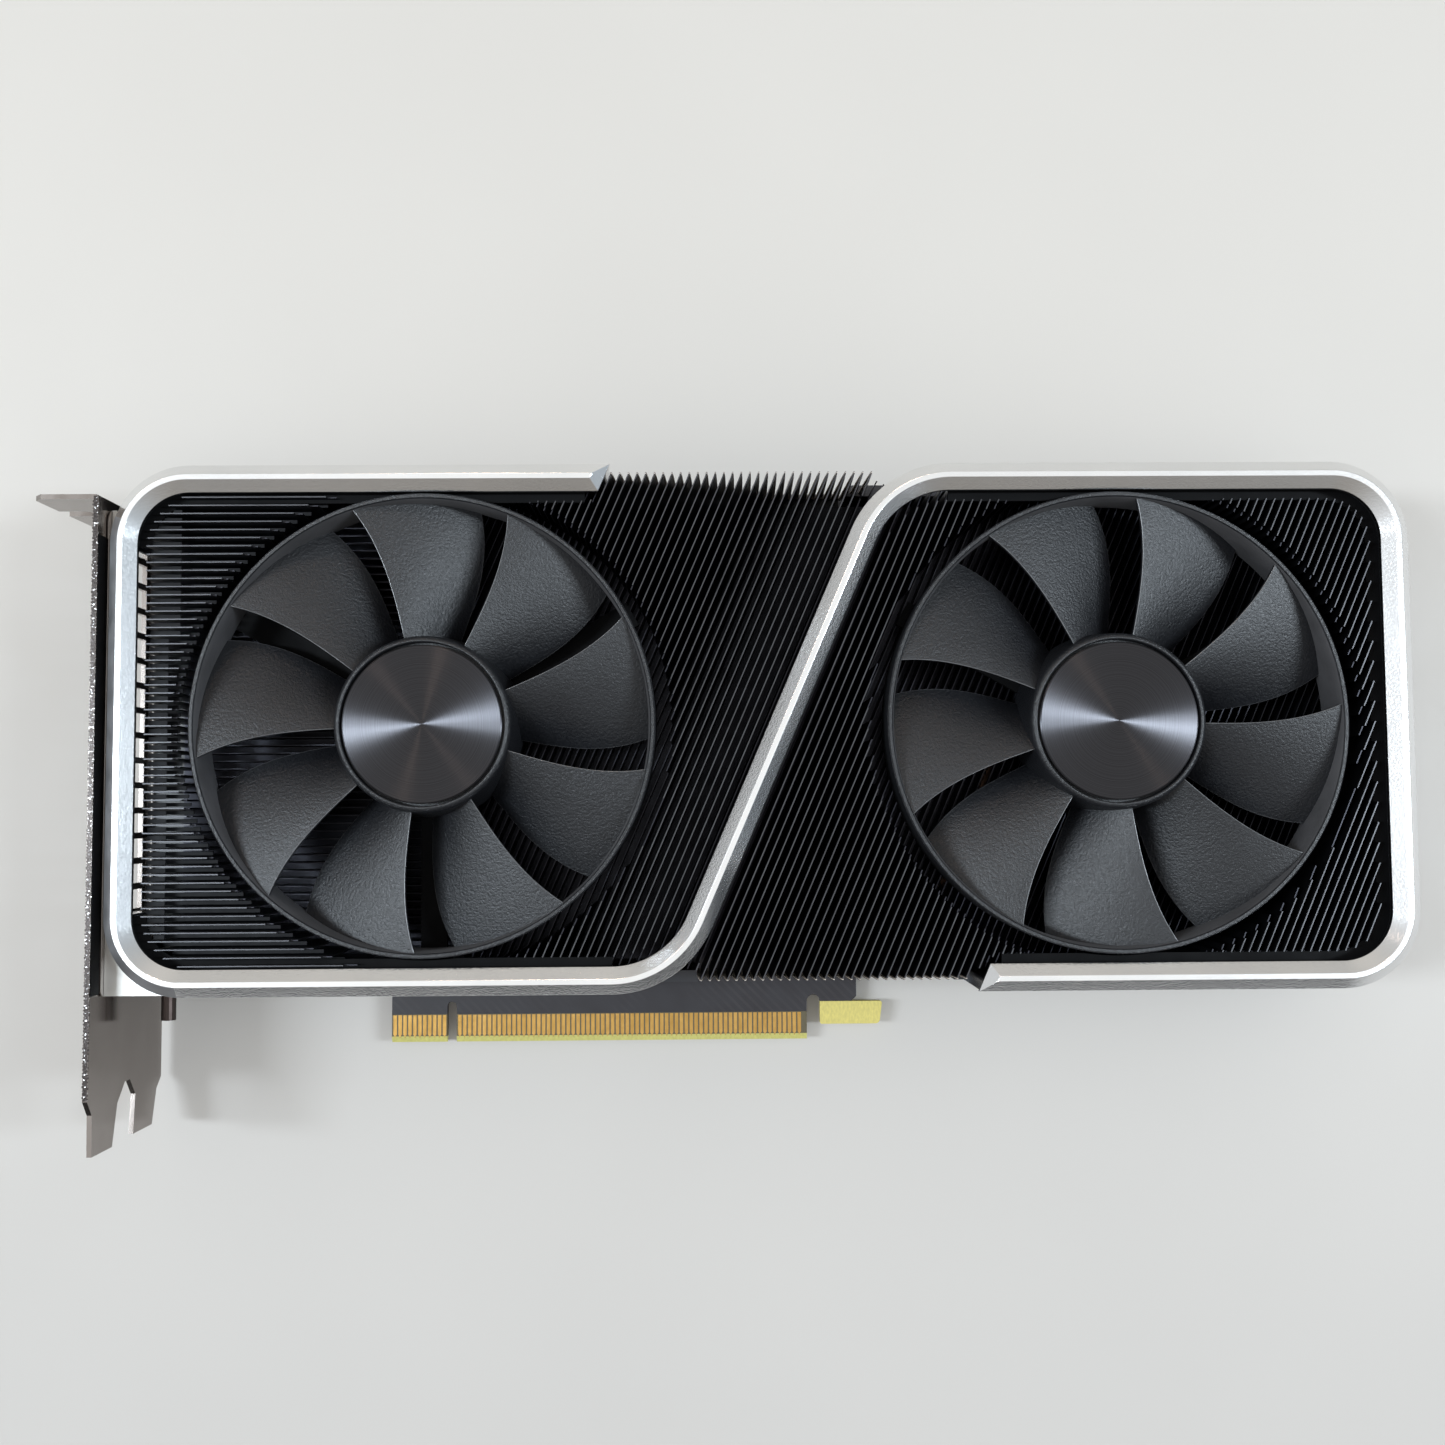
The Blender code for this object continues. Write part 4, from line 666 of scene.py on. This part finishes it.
def bracket_edge():
    """Bare punched edge of the bracket, with the small burrs of the punch."""
    bm = bmesh.new()
    near = local_box("bracket")[1].z
    outer, inner = BRACKET_OUTER + 0.06, BRACKET_INNER - 0.06
    add_prism(bm, rectangle(outer, inner, -4.6, 105.0), near - 0.05, near + 0.02)
    step = 0.62
    count = int(109.0 / step)
    for number in range(count):
        y = -4.4 + number * step
        wave = math.sin(number * 2.399) * 0.5 + 0.5
        length = 0.16 + 0.26 * wave
        for x, shift in ((BRACKET_INNER, 0.0), (BRACKET_OUTER, 0.31)):
            depth = 0.09 + 0.05 * math.sin(number * 1.7 + x)
            add_prism(bm, rectangle(x - depth, x + depth, y + shift, y + shift + length),
                      near - 0.16 - 0.1 * wave, near + 0.03)
    piece("bracket_edge", bm, EDGE_PAINTED_GLINTS, bevel=0.03)


def shade_strip():
    """Black strip on the bracket's inner face, beside the ribbon: a dark sheet put there to stand
    in for shade, painted shade.
    """
    bm = bmesh.new()
    outline = rounded(rectangle(BOTTOM + 0.5, TOP - 13.0, 34.4, 38.05), [0.3] * 4, 3,
                      closed=True)
    add_prism(bm, outline, BRACKET_INNER + 0.02, BRACKET_INNER + 0.2, "X")
    piece("bracket_shade_strip", bm, SHADE_BLACK, bevel=0.05)


def flange_lip():
    """Thin folded lip beside the bracket, from corner to corner."""
    bm = bmesh.new()
    outline = rounded(rectangle(BOTTOM - 0.1, 103.4, 29.0, 34.2), [0.2, 0.2, 2.4, 1.4], 6,
                      closed=True)
    add_prism(bm, outline, -59.1, -58.75, "X")
    piece("flange_lip", bm, NICKEL, bevel=0.08)


# ---------------------------------------------------------------- fins

RAIL_POINTS = np.array([tuple(point) for point in rail_path(10)])
RAIL_POINTS[0, 0] -= END_RELIEF
RAIL_POINTS[-1, 0] += END_RELIEF


def rail_distance(points):
    """Distance of each point from the middle line of the front rail."""
    starts = RAIL_POINTS[:-1]
    spans = RAIL_POINTS[1:] - starts
    offsets = points[:, None, :] - starts[None]
    share = (offsets * spans).sum(2) / (spans * spans).sum(1)
    share = np.clip(share, 0.0, 1.0)
    nearest = offsets - share[..., None] * spans
    return np.sqrt((nearest ** 2).sum(2)).min(1)


def fin_heights(points, clearance):
    """Height of the fins' upper edge at each point, low from clearance beside the rail."""
    heights = np.full(len(points), FIN_TOP)
    under_rail = rail_distance(points) < RAIL_WIDTH / 2 + clearance
    heights[under_rail] = BEZEL_LOW - 0.1
    for fan in (LEFT_FAN, RIGHT_FAN):
        distance = np.hypot(points[:, 0] - fan.x, points[:, 1] - fan.y)
        heights[distance < POCKET_RADIUS + 0.7] -= 0.9
        heights[distance < POCKET_RADIUS] = POCKET_FLOOR
    return heights


def fin_profile(start, direction, length, low, clearance):
    """Outline of one fin as (distance along it, height), without needless points."""
    count = max(2, int(length / 0.1))
    along = np.linspace(0.0, length, count)
    points = np.array(start)[None] + along[:, None] * np.array(direction)[None]
    heights = fin_heights(points, clearance)
    outline = [(0.0, low)]
    for here, height in zip(along, heights):
        if len(outline) > 1 and abs(outline[-1][1] - height) > 0.5:
            outline.append((here - 0.02, outline[-1][1]))
        outline.append((here, height))
    outline.append((length, low))
    kept = [outline[0]]
    for point, after in zip(outline[1:], outline[2:]):
        first = Vector(point) - Vector(kept[-1])
        second = Vector(after) - Vector(point)
        if abs(first.cross(second)) > 1e-5:
            kept.append(point)
    kept.append(outline[-1])
    return kept


def add_fin(bm, start, direction, length, low, clearance):
    """Thin upright plate along a line, with its upper edge cut round fans and rail."""
    if length < 1.0:
        return
    across = Vector((-direction[1], direction[0])) * FIN_THICKNESS / 2
    outline = fin_profile(start, direction, length, low, clearance)
    sides = []
    for sign in (1, -1):
        sides.append([bm.verts.new((start[0] + direction[0] * t + across.x * sign,
                                    start[1] + direction[1] * t + across.y * sign, z))
                      for t, z in outline])
    bm.faces.new(sides[0])
    bm.faces.new(sides[1])
    for index in range(len(outline)):
        after = (index + 1) % len(outline)
        bm.faces.new((sides[0][index], sides[0][after], sides[1][after], sides[1][index]))


def corner_left(y):
    """Left end of the fin along the card at a height y, which follows the corners."""
    inner_radius = CORNER_RADIUS - RAIL_WIDTH / 2
    low = BOTTOM + RAIL_WIDTH + inner_radius + 0.6
    high = TOP - RAIL_WIDTH - inner_radius - 0.6
    reach = max(low - y, y - high, 0.0)
    reach = min(reach / (inner_radius + 1.2), 1.0)
    return FIN_LEFT + (inner_radius + 2.5) * (1 - math.sqrt(1 - reach ** 2))


def row_fins():
    """Fins along the card at the bracket end."""
    bm = bmesh.new()
    for number in range(ROW_COUNT):
        y = LOWEST_ROW + number * ROW_PITCH
        left = corner_left(y)
        add_fin(bm, (left, y), (1.0, 0.0), STACK_SIDE - 0.5 - left, FIN_LOW, 0.3)
    base = rounded(rectangle(FIN_LEFT, STACK_SIDE - 0.5, 18.0, 106.5), [6, 0, 0, 6], 6, True)
    add_prism(bm, base, FIN_LOW, FIN_LOW + BASE_THICKNESS)
    piece("row_fins", bm, FINS, replaces=("fin_stack_left",))

    bm = bmesh.new()
    for number in range(ROW_COUNT - 1):
        y = LOWEST_ROW + number * ROW_PITCH
        left = max(corner_left(y), corner_left(y + ROW_PITCH)) + 0.15
        lock = -45.6 if y > FOLD_SHIFT_HEIGHT else -47.7
        pocket = POCKET_RADIUS ** 2 - (y + ROW_PITCH / 2 - LEFT_FAN.y) ** 2
        right = LEFT_FAN.x - math.sqrt(max(pocket, 0.0)) - 0.6
        if lock > left + 1.0:
            add_prism(bm, rectangle(left, min(lock, right), y + 0.24, y + ROW_PITCH - 0.42),
                      *HIGH_FOLDS)
        if right > lock + 1.0:
            add_prism(bm, rectangle(max(lock - 0.9, left), right, y + 0.34,
                                    y + ROW_PITCH - 0.45), *DEEP_FOLDS)
    piece("fin_folds", bm, FOLDS, bevel=0.05)

    bm = bmesh.new()
    cover = rounded(rectangle(-58.2, -40.0, BOTTOM + 14.0, TOP - 5.0), [1.0] * 4, 4, True)
    add_prism(bm, cover, 11.3, 11.6)
    piece("socket_cover", bm, PLASTIC)


def lean_x(offset, y):
    """X at a height y of the leaning fin that passes the fans' height at offset."""
    return offset + (y - LEFT_FAN.y) * LEAN


def lean_limits(offset):
    """Lowest and highest Y of the leaning fin that passes the fans' height at offset."""
    low = BOTTOM + 4.1
    high = TOP - 3.1
    if GAP_LEFT < lean_x(offset, high) < GAP_RIGHT:
        high = TOP - 1.6
    if LOW_GAP_LEFT < lean_x(offset, low) < LOW_GAP_RIGHT:
        low = BOTTOM + 2.4
    low = max(low, LEFT_FAN.y + (STACK_SIDE - offset) / LEAN)
    high = min(high, LEFT_FAN.y + (RIGHT - 5.7 - offset) / LEAN)
    return low, high


def arch(inner, outer, x, y, inward, full, low):
    """Pointed end flange of a fin: narrow at the top, as wide as the pitch from full down.

    Its inner skin takes the pale colour that stands in for light, painted light, and its outer one
    is painted black; inward is -1 or 1 along Y.
    """
    steps = 8
    left_side = []
    right_side = []
    for step in range(steps + 1):
        share = step / steps
        half = LEAN_PITCH / 2 * (0.14 + 0.86 * share ** 0.8)
        z = FIN_TOP + (full - FIN_TOP) * share
        left_side.append((x - half, z))
        right_side.append((x + half, z))
    left_side.append((x - LEAN_PITCH / 2, low))
    right_side.append((x + LEAN_PITCH / 2, low))
    outline = left_side + right_side[::-1]
    add_prism(inner, outline, *sorted((y, y + 0.12 * inward)), "Y")
    add_prism(outer, outline, *sorted((y - 0.01 * inward, y - 0.12 * inward)), "Y")


def lean_fins():
    """Leaning fins between and round the fans, up to the far end of the card."""
    stacks = {"middle": bmesh.new(), "right": bmesh.new()}
    flanges = bmesh.new()
    paint = bmesh.new()
    for number in LEAN_NUMBERS:
        offset = STACK_SIDE + number * LEAN_PITCH
        low, high = lean_limits(offset)
        if high - low < 2.0:
            continue
        bm = stacks["middle" if offset < STACK_SPLIT else "right"]
        start = (lean_x(offset, low), low)
        add_fin(bm, start, LEAN_DIRECTION, (high - low) / LEAN_DIRECTION[1], FIN_LOW, 1.6)
        if high > TOP - 2.0:
            x = lean_x(offset, high)
            full = np.interp(x, (32.0, 50.0, 66.0), (24.0, 14.0, 10.6))
            arch(flanges, paint, x, high + 0.2, -1, full, 10.5)
        if low < BOTTOM + 3.0:
            arch(flanges, paint, start[0], low - 0.2, 1, 27.0, SPLIT_HEIGHT - 3.0)
    piece("fin_end_flanges", flanges, FLANGES_PAINTED_LIGHT)
    piece("fin_end_paint_and_painted_light", paint, FINS)
    low, high = 17.6, 107.4
    split_low, split_high = lean_x(STACK_SPLIT, low), lean_x(STACK_SPLIT, high)
    bases = {
        "middle": [(STACK_SIDE, low), (split_low - 0.3, low), (split_high - 0.3, high),
                   (STACK_SIDE, high)],
        "right": [(split_low + 0.3, low), (RIGHT - 6.0, low), (RIGHT - 6.0, high),
                  (split_high + 0.3, high)],
    }
    for name, base in bases.items():
        add_prism(stacks[name], base, FIN_LOW, FIN_LOW + BASE_THICKNESS)
        piece(f"lean_fins_{name}", stacks[name], FINS,
              replaces=(f"fin_stack_{name}",))


def rear_fins():
    """Fins that show in the window of the rear panel."""
    low_corner, high_corner = local_box("fin_stack_rear")
    bm = bmesh.new()
    low, high = low_corner.y, high_corner.y
    top = high_corner.z
    across = Vector((-LEAN_DIRECTION[1], LEAN_DIRECTION[0])) * FIN_THICKNESS / 2
    offset = STACK_SPLIT + 0.6
    while offset < RIGHT + 20:
        upper = min(high, LEFT_FAN.y + (RIGHT - 4.5 - offset) / LEAN)
        if upper - low > 3.0:
            start = Vector((lean_x(offset, low), low))
            end = Vector((lean_x(offset, upper), upper))
            outline = [start + across, end + across, end - across, start - across]
            add_prism(bm, outline, low_corner.z, top)
        offset += LEAN_PITCH
    left = STACK_SPLIT + 0.4
    base = [(lean_x(left, low), low + 0.5), (RIGHT - 6.0, low + 0.5),
            (RIGHT - 6.0, high - 0.5), (lean_x(left, high), high - 0.5)]
    add_prism(bm, base, top - BASE_THICKNESS, top)
    piece("rear_fins", bm, FINS, replaces=("fin_stack_rear",))


# ---------------------------------------------------------------- fans

def place_fan(bm, centre, turn):
    """Carry a mesh built round the Z axis to its fan."""
    bm.transform(Matrix.Translation((centre.x, centre.y, 0.0)) @ Matrix.Rotation(turn, 4, "Z"))
    return bm


def blade_point(reach, along, lift, turn):
    """Point of a blade: reach from hub to ring, along from leading to trailing edge."""
    inner = 16.0
    outer = RING_RADIUS - 0.7
    radius = inner + (outer - inner) * reach
    lead = math.radians(22.7 + 5.7 * reach ** 2.3) + turn
    sweep = math.radians(31.5 + 1.0 * math.sin(math.pi * reach))
    angle = lead - sweep * along
    high = 35.8 + 0.6 * reach
    drop = 8.8 - 1.6 * reach
    height = high - drop * (0.55 * along + 0.45 * along ** 2) + lift
    return (radius * math.cos(angle), radius * math.sin(angle), height)


def blades(radial_steps=18, chord_steps=14):
    """Nine closed blades with a rounded leading edge and a thinner trailing edge."""
    bm = bmesh.new()
    for number in range(BLADE_COUNT):
        turn = 2 * math.pi * number / BLADE_COUNT
        sides = []
        for is_lower in (False, True):
            grid = []
            for i in range(radial_steps + 1):
                row = []
                for j in range(chord_steps + 1):
                    along = (j / chord_steps) ** 1.2
                    lift = -1.15 * (1 - 0.55 * along) if is_lower else 0.0
                    place = blade_point(i / radial_steps, along, lift, turn)
                    row.append(bm.verts.new(place))
                grid.append(row)
            sides.append(grid)
        upper, lower = sides
        for grid in sides:
            for i in range(radial_steps):
                for j in range(chord_steps):
                    bm.faces.new((grid[i][j], grid[i + 1][j], grid[i + 1][j + 1],
                                  grid[i][j + 1]))
        loops = [[(i, 0) for i in range(radial_steps + 1)],
                 [(radial_steps, j) for j in range(chord_steps + 1)],
                 [(i, chord_steps) for i in range(radial_steps, -1, -1)],
                 [(0, j) for j in range(chord_steps, -1, -1)]]
        for loop in loops:
            for (a, b), (c, d) in zip(loop, loop[1:]):
                bm.faces.new((upper[a][b], upper[c][d], lower[c][d], lower[a][b]))
    return bm


def fan(side, centre, turn):
    body = f"{side}_fan"
    bm = place_fan(blades(), centre, turn)
    piece(f"{side}_blades", bm, MOULDED, body, (f"{side}_rotor",), 35, 0.13,
          EDGE_HIGHLIGHT)

    bm = bmesh.new()
    groove = CAP_RADIUS + 0.45
    hub = [(groove, 35.0), (groove, HUB_RIM - 0.35), (groove + 0.10, HUB_RIM - 0.1),
           (groove + 0.25, HUB_RIM), (groove + 0.42, HUB_RIM), (15.80, HUB_RIM - 0.22),
           (16.10, HUB_RIM - 0.60), (16.28, HUB_RIM - 1.1), (16.35, HUB_RIM - 1.7),
           (16.5, 34.0), (17.0, 29.0), (17.3, HUB_LOW), (15.6, HUB_LOW), (15.4, 34.6)]
    add_turned(bm, hub, 128)
    floor = [(1.8, 34.8), (15.45, 34.8), (15.45, 35.4), (1.8, 35.4)]
    add_turned(bm, floor, 96)
    piece(f"{side}_hub", place_fan(bm, centre, turn), MOULDED, body,
          smooth=35)

    bm = bmesh.new()
    outer = RING_RADIUS
    ring_high = 37.0
    ring = [(outer - 1.15, 27.6), (outer - 0.1, 27.5), (outer, 27.7), (outer, ring_high - 0.3),
            (outer - 0.25, ring_high), (outer - 0.75, ring_high), (outer - 0.95, ring_high - 0.25),
            (outer - 1.05, 36.0), (outer - 1.3, 35.2)]
    add_turned(bm, ring, 180)
    rim = piece(f"{side}_ring", place_fan(bm, centre, turn), MOULDED, body,
                smooth=35)
    rim.data.materials.append(RING_WALL_PAINTED_LIGHT)
    middle_point = ORIGIN + Vector((centre.x, centre.y, 0.0)) * MM
    # Faces turned in towards the hub take the paler copy, painted light.
    for polygon in rim.data.polygons:
        spoke = (polygon.center - middle_point).to_2d().normalized()
        faces_in = polygon.normal.to_2d().dot(spoke) < -0.9 and polygon.normal.z < 0.4
        polygon.material_index = 1 if faces_in else 0

    bm = bmesh.new()
    disc = [(0, CAP_LOW), (CAP_RADIUS, CAP_LOW), (CAP_RADIUS, CAP_TOP - 0.22),
            (CAP_RADIUS - 0.22, CAP_TOP), (0, CAP_TOP)]
    add_turned(bm, disc, 128)
    piece(f"{side}_cap", place_fan(bm, centre, 0.0), SPUN, body,
          (f"{side}_hub_cap",), 30)


# ---------------------------------------------------------------- circuit board

BOARD_LOW = board_low.z / MM
BOARD_HIGH = board_high.z / MM
TONGUE_LEFT, TONGUE_RIGHT = -12.15, 72.15
KEY_HALF = 0.95
BARE_HEIGHT = 5.6         # top of the contacts, where the lacquer starts
BEVEL_HEIGHT = 1.2


def half_circle(centre_x, centre_y, radius, steps=8):
    """Points over the top of a round-ended slot, from its left to its right."""
    points = []
    for step in range(steps + 1):
        angle = math.pi - math.pi * step / steps
        points.append((centre_x + radius * math.cos(angle), centre_y + radius * math.sin(angle)))
    return points


def circuit_board():
    low, high = local_box("circuit_board")
    left, top = low.x, high.y
    slot_middle = 73.5
    outline = [(left, 19.2), (left + 3, 16.2), (TONGUE_LEFT, 16.2), (TONGUE_LEFT, BARE_HEIGHT),
               (-KEY_HALF, BARE_HEIGHT)]
    outline += half_circle(0.0, 7.15, KEY_HALF)
    outline += [(KEY_HALF, BARE_HEIGHT), (TONGUE_RIGHT, BARE_HEIGHT)]
    outline += half_circle(slot_middle, 7.6, slot_middle - TONGUE_RIGHT)
    outline += [(2 * slot_middle - TONGUE_RIGHT, 7.6), (81.3, 7.6), (82.3, 8.6), (82.3, top),
                (left, top)]
    bm = bmesh.new()
    add_prism(bm, outline, BOARD_LOW, BOARD_HIGH)
    piece("board_lacquered", bm, MASK, replaces=("circuit_board",), bevel=0.05)

    base = rectangle(BEVEL_HEIGHT, BARE_HEIGHT, BOARD_LOW, BOARD_HIGH)
    wedge = [(0.0, BOARD_LOW + 0.5), (0.0, BOARD_HIGH - 0.5), (BEVEL_HEIGHT, BOARD_HIGH),
             (BEVEL_HEIGHT, BOARD_LOW)]
    for name, section, material in (("connector_base", base, CONTACT_BASE),
                                    ("connector_bevel", wedge, BEVEL_LAMINATE)):
        bm = bmesh.new()
        for start, end in ((TONGUE_LEFT, -KEY_HALF), (KEY_HALF, TONGUE_RIGHT)):
            add_prism(bm, section, start, end, "X")
        piece(name, bm, material)

    latch = rounded([(2 * slot_middle - TONGUE_RIGHT, 3.0), (87.0, 3.0), (87.6, 7.6),
                     (2 * slot_middle - TONGUE_RIGHT, 7.6)], [0.4, 0.9, 0.5, 0], 5, True)
    bm = bmesh.new()
    add_prism(bm, latch, BOARD_LOW, BOARD_HIGH)
    piece("latch_ear", bm, LATCH_LAMINATE, bevel=0.08)


def contacts():
    """Gold fingers on both faces of the tongue, eleven before the key and the rest after."""
    bm = bmesh.new()
    middles = [TONGUE_LEFT + 0.65 + number for number in range(11)]
    middles += [KEY_HALF + 0.65 + number for number in range(70)]
    half = 0.36
    point = 0.16
    for low, high in ((BOARD_HIGH, BOARD_HIGH + 0.05), (BOARD_LOW - 0.05, BOARD_LOW)):
        for x in middles:
            foot = BEVEL_HEIGHT + 0.05
            outline = [(x - half, BARE_HEIGHT - 0.15), (x - half, foot + 0.35),
                       (x - point, foot), (x + point, foot), (x + half, foot + 0.35),
                       (x + half, BARE_HEIGHT - 0.15)]
            add_prism(bm, outline, low, high)
            if low == BOARD_HIGH:
                tail = [(x - 0.08, foot), (x - 0.08, foot - 0.35), (x + 0.08, foot - 0.35),
                        (x + 0.08, foot)]
                add_prism(bm, tail, BOARD_HIGH - 0.12, BOARD_HIGH + 0.03)
    piece("contact_fingers", bm, GOLD)


# ---------------------------------------------------------------- CAD nodes that stay

# Finish and edge round of each node, by its name without its side and its number.
KEPT = {
    "rear_frame": (DARK_METAL, 0.15), "backplate": (DARK_METAL, 0.12),
    "backplate_screw_": (STEEL, 0.0), "bracket_screw_": (STEEL, 0.0),
    "bracket_flange": (FROSTED, 0.18), "bracket": (NICKEL, 0.12),
    "locating_post": (BRONZED, 0.2), "video_socket_": (STEEL, 0.1),
    "power_connector": (PLASTIC, 0.12), "cold_plate": (COPPER, 0.1),
    "heat_pipe_": (COPPER, 0.0), "gpu_substrate": (MASK, 0.0), "gpu_die": (STEEL, 0.0),
    "memory_chip_": (CHIP, 0.0), "power_choke_": (CHIP, 0.15), "capacitor_": (STEEL, 0.0),
    "fan_base": (SHADE_BLACK, 0.15), "fan_bearing": (STEEL, 0.0), "fan_stator": (COPPER, 0.0),
    "fan_lead": (PLASTIC, 0.0), "fan_header": (PLASTIC, 0.1), "shaft": (STEEL, 0.0),
    "magnet_ring": (CHIP, 0.0),
}


def dress_cad_nodes():
    """Give each CAD node that still shows its finish and softly rounded edges."""
    for name, obj in sorted(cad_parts.items()):
        if obj.hide_render:
            continue
        kind = name.removeprefix("left_").removeprefix("right_").rstrip("0123456789")
        material, width = KEPT[kind]
        obj.data.materials.clear()
        obj.data.materials.append(material)
        if width:
            soften(obj, width)


# ---------------------------------------------------------------- camera, floor, light

def stage_slab(name, outline, low, high, material):
    """Upright slab of the surroundings, in world millimetres."""
    bm = bmesh.new()
    add_prism(bm, outline, low, high)
    bm.transform(Matrix.Scale(MM, 4))
    slab = new_object(name, bm, material)
    return slab


def floor():
    reach = 1800.0
    stage_slab("table", rectangle(-reach, reach, -reach, reach), -20.0, -0.02, TABLE)


def camera():
    """Camera over the middle of the card, nearly straight above it."""
    data = bpy.data.cameras.new("camera")
    data.sensor_width = 36.0
    data.lens = 36.046
    data.clip_start = 0.01
    data.clip_end = 20.0
    obj = bpy.data.objects.new("camera", data)
    turn_x, turn_y, turn_z = (math.radians(angle) for angle in (-3.33392, 0.79118, 0.33123))
    into_view = (Matrix.Rotation(turn_z, 3, "Z") @ Matrix.Rotation(turn_y, 3, "Y")
                 @ Matrix.Rotation(turn_x, 3, "X"))
    place = into_view.transposed().to_4x4()
    place.translation = ORIGIN + Vector((51.247, 47.312, 301.934)) * MM
    obj.matrix_world = place
    bpy.context.scene.collection.objects.link(obj)
    bpy.context.scene.camera = obj


def dark_card():
    """Dark card in front of the connector side, seen only in reflections."""
    card = stage_slab("dark_card", rectangle(-900.0, 900.0, -262.0, -260.0), 3.0, 70.0,
                      DARK_METAL)
    card.visible_camera = False
    card.visible_diffuse = False
    card.visible_shadow = False


def area_light(name, location, size, power, colour, only_gloss):
    """Rectangular lamp that faces the card; only_gloss leaves it out of diffuse light."""
    data = bpy.data.lights.new(name, "AREA")
    data.shape = "RECTANGLE"
    data.size, data.size_y = size
    data.energy = power
    data.color = colour
    obj = bpy.data.objects.new(name, data)
    obj.location = location
    obj.rotation_euler = (-Vector(location)).to_track_quat("-Z", "Y").to_euler()
    obj.visible_diffuse = not only_gloss
    bpy.context.scene.collection.objects.link(obj)


SKY = (0.34, 0.34, 0.335)
# Direction, sharpness and colour of each broad patch of light or shade added to the sky.
LOBES = (
    ((0, 0, 1), 2.2, (0.72, 0.72, 0.71)),
    ((1, 0, 0.2), 3.0, (0.06, 0.11, 0.16)),
    ((-1, 0, 0.3), 3.0, (0.36, 0.37, 0.38)),
    ((0, 1, 0.05), 4.0, (0.31, 0.28, 0.24)),
    ((0, -1, 0.1), 4.0, (-0.06, -0.08, -0.10)),
)
# Name, place, size, power, colour, and whether the lamp shows only in glossy reflections.
LAMPS = (
    ("left_window", (-0.85, 0.02, 1.05), (0.13, 0.45), 8.0, (0.84, 0.92, 1.0), False),
    ("right_window", (0.90, 0.02, 0.95), (0.13, 0.45), 7.0, (0.82, 0.91, 1.0), False),
    ("left_gleam", (-0.85, 0.02, 1.05), (0.06, 0.45), 12.0, (0.78, 0.90, 1.0), True),
    ("right_gleam", (0.90, 0.02, 0.95), (0.06, 0.45), 12.0, (0.80, 0.91, 1.0), True),
    ("warm_lamp_back", (-0.10, 0.90, 1.0), (0.10, 0.30), 1.5, (1.0, 0.74, 0.55), True),
    ("warm_lamp_side", (-0.79, 0.68, 0.92), (0.10, 0.30), 1.0, (1.0, 0.76, 0.62), True),
)


def studio():
    """Soft room light: bright above, darker on the side of the connector."""
    world = bpy.data.worlds.new("studio")
    bpy.context.scene.world = world
    world.use_nodes = True
    tree = world.node_tree
    direction = tree.nodes.new("ShaderNodeTexCoord").outputs["Generated"]
    total = SKY
    for axis, power, colour in LOBES:
        towards = Vector(axis).normalized()
        dot = compute(tree, "VectorMath", "DOT_PRODUCT", direction, towards)["Value"]
        positive = compute(tree, "Math", "MAXIMUM", dot, 0.0)[0]
        sharp = compute(tree, "Math", "POWER", positive, power)[0]
        patch = compute(tree, "VectorMath", "SCALE", colour, sharp, "Scale")[0]
        total = compute(tree, "VectorMath", "ADD", patch, total)[0]
    background = tree.nodes["Background"]
    tree.links.new(total, background.inputs["Color"])
    background.inputs["Strength"].default_value = 1.0
    for lamp in LAMPS:
        area_light(*lamp)
    dark_card()
    bpy.context.scene.view_settings.view_transform = "Standard"


camera()
ribbon()
skirts()
flange_lip()
shade_strip()
bezel()
bracket_edge()
row_fins()
lean_fins()
rear_fins()
fan("left", LEFT_FAN, 0.0)
fan("right", RIGHT_FAN, RIGHT_FAN_TURN)
circuit_board()
contacts()
dress_cad_nodes()
floor()
studio()
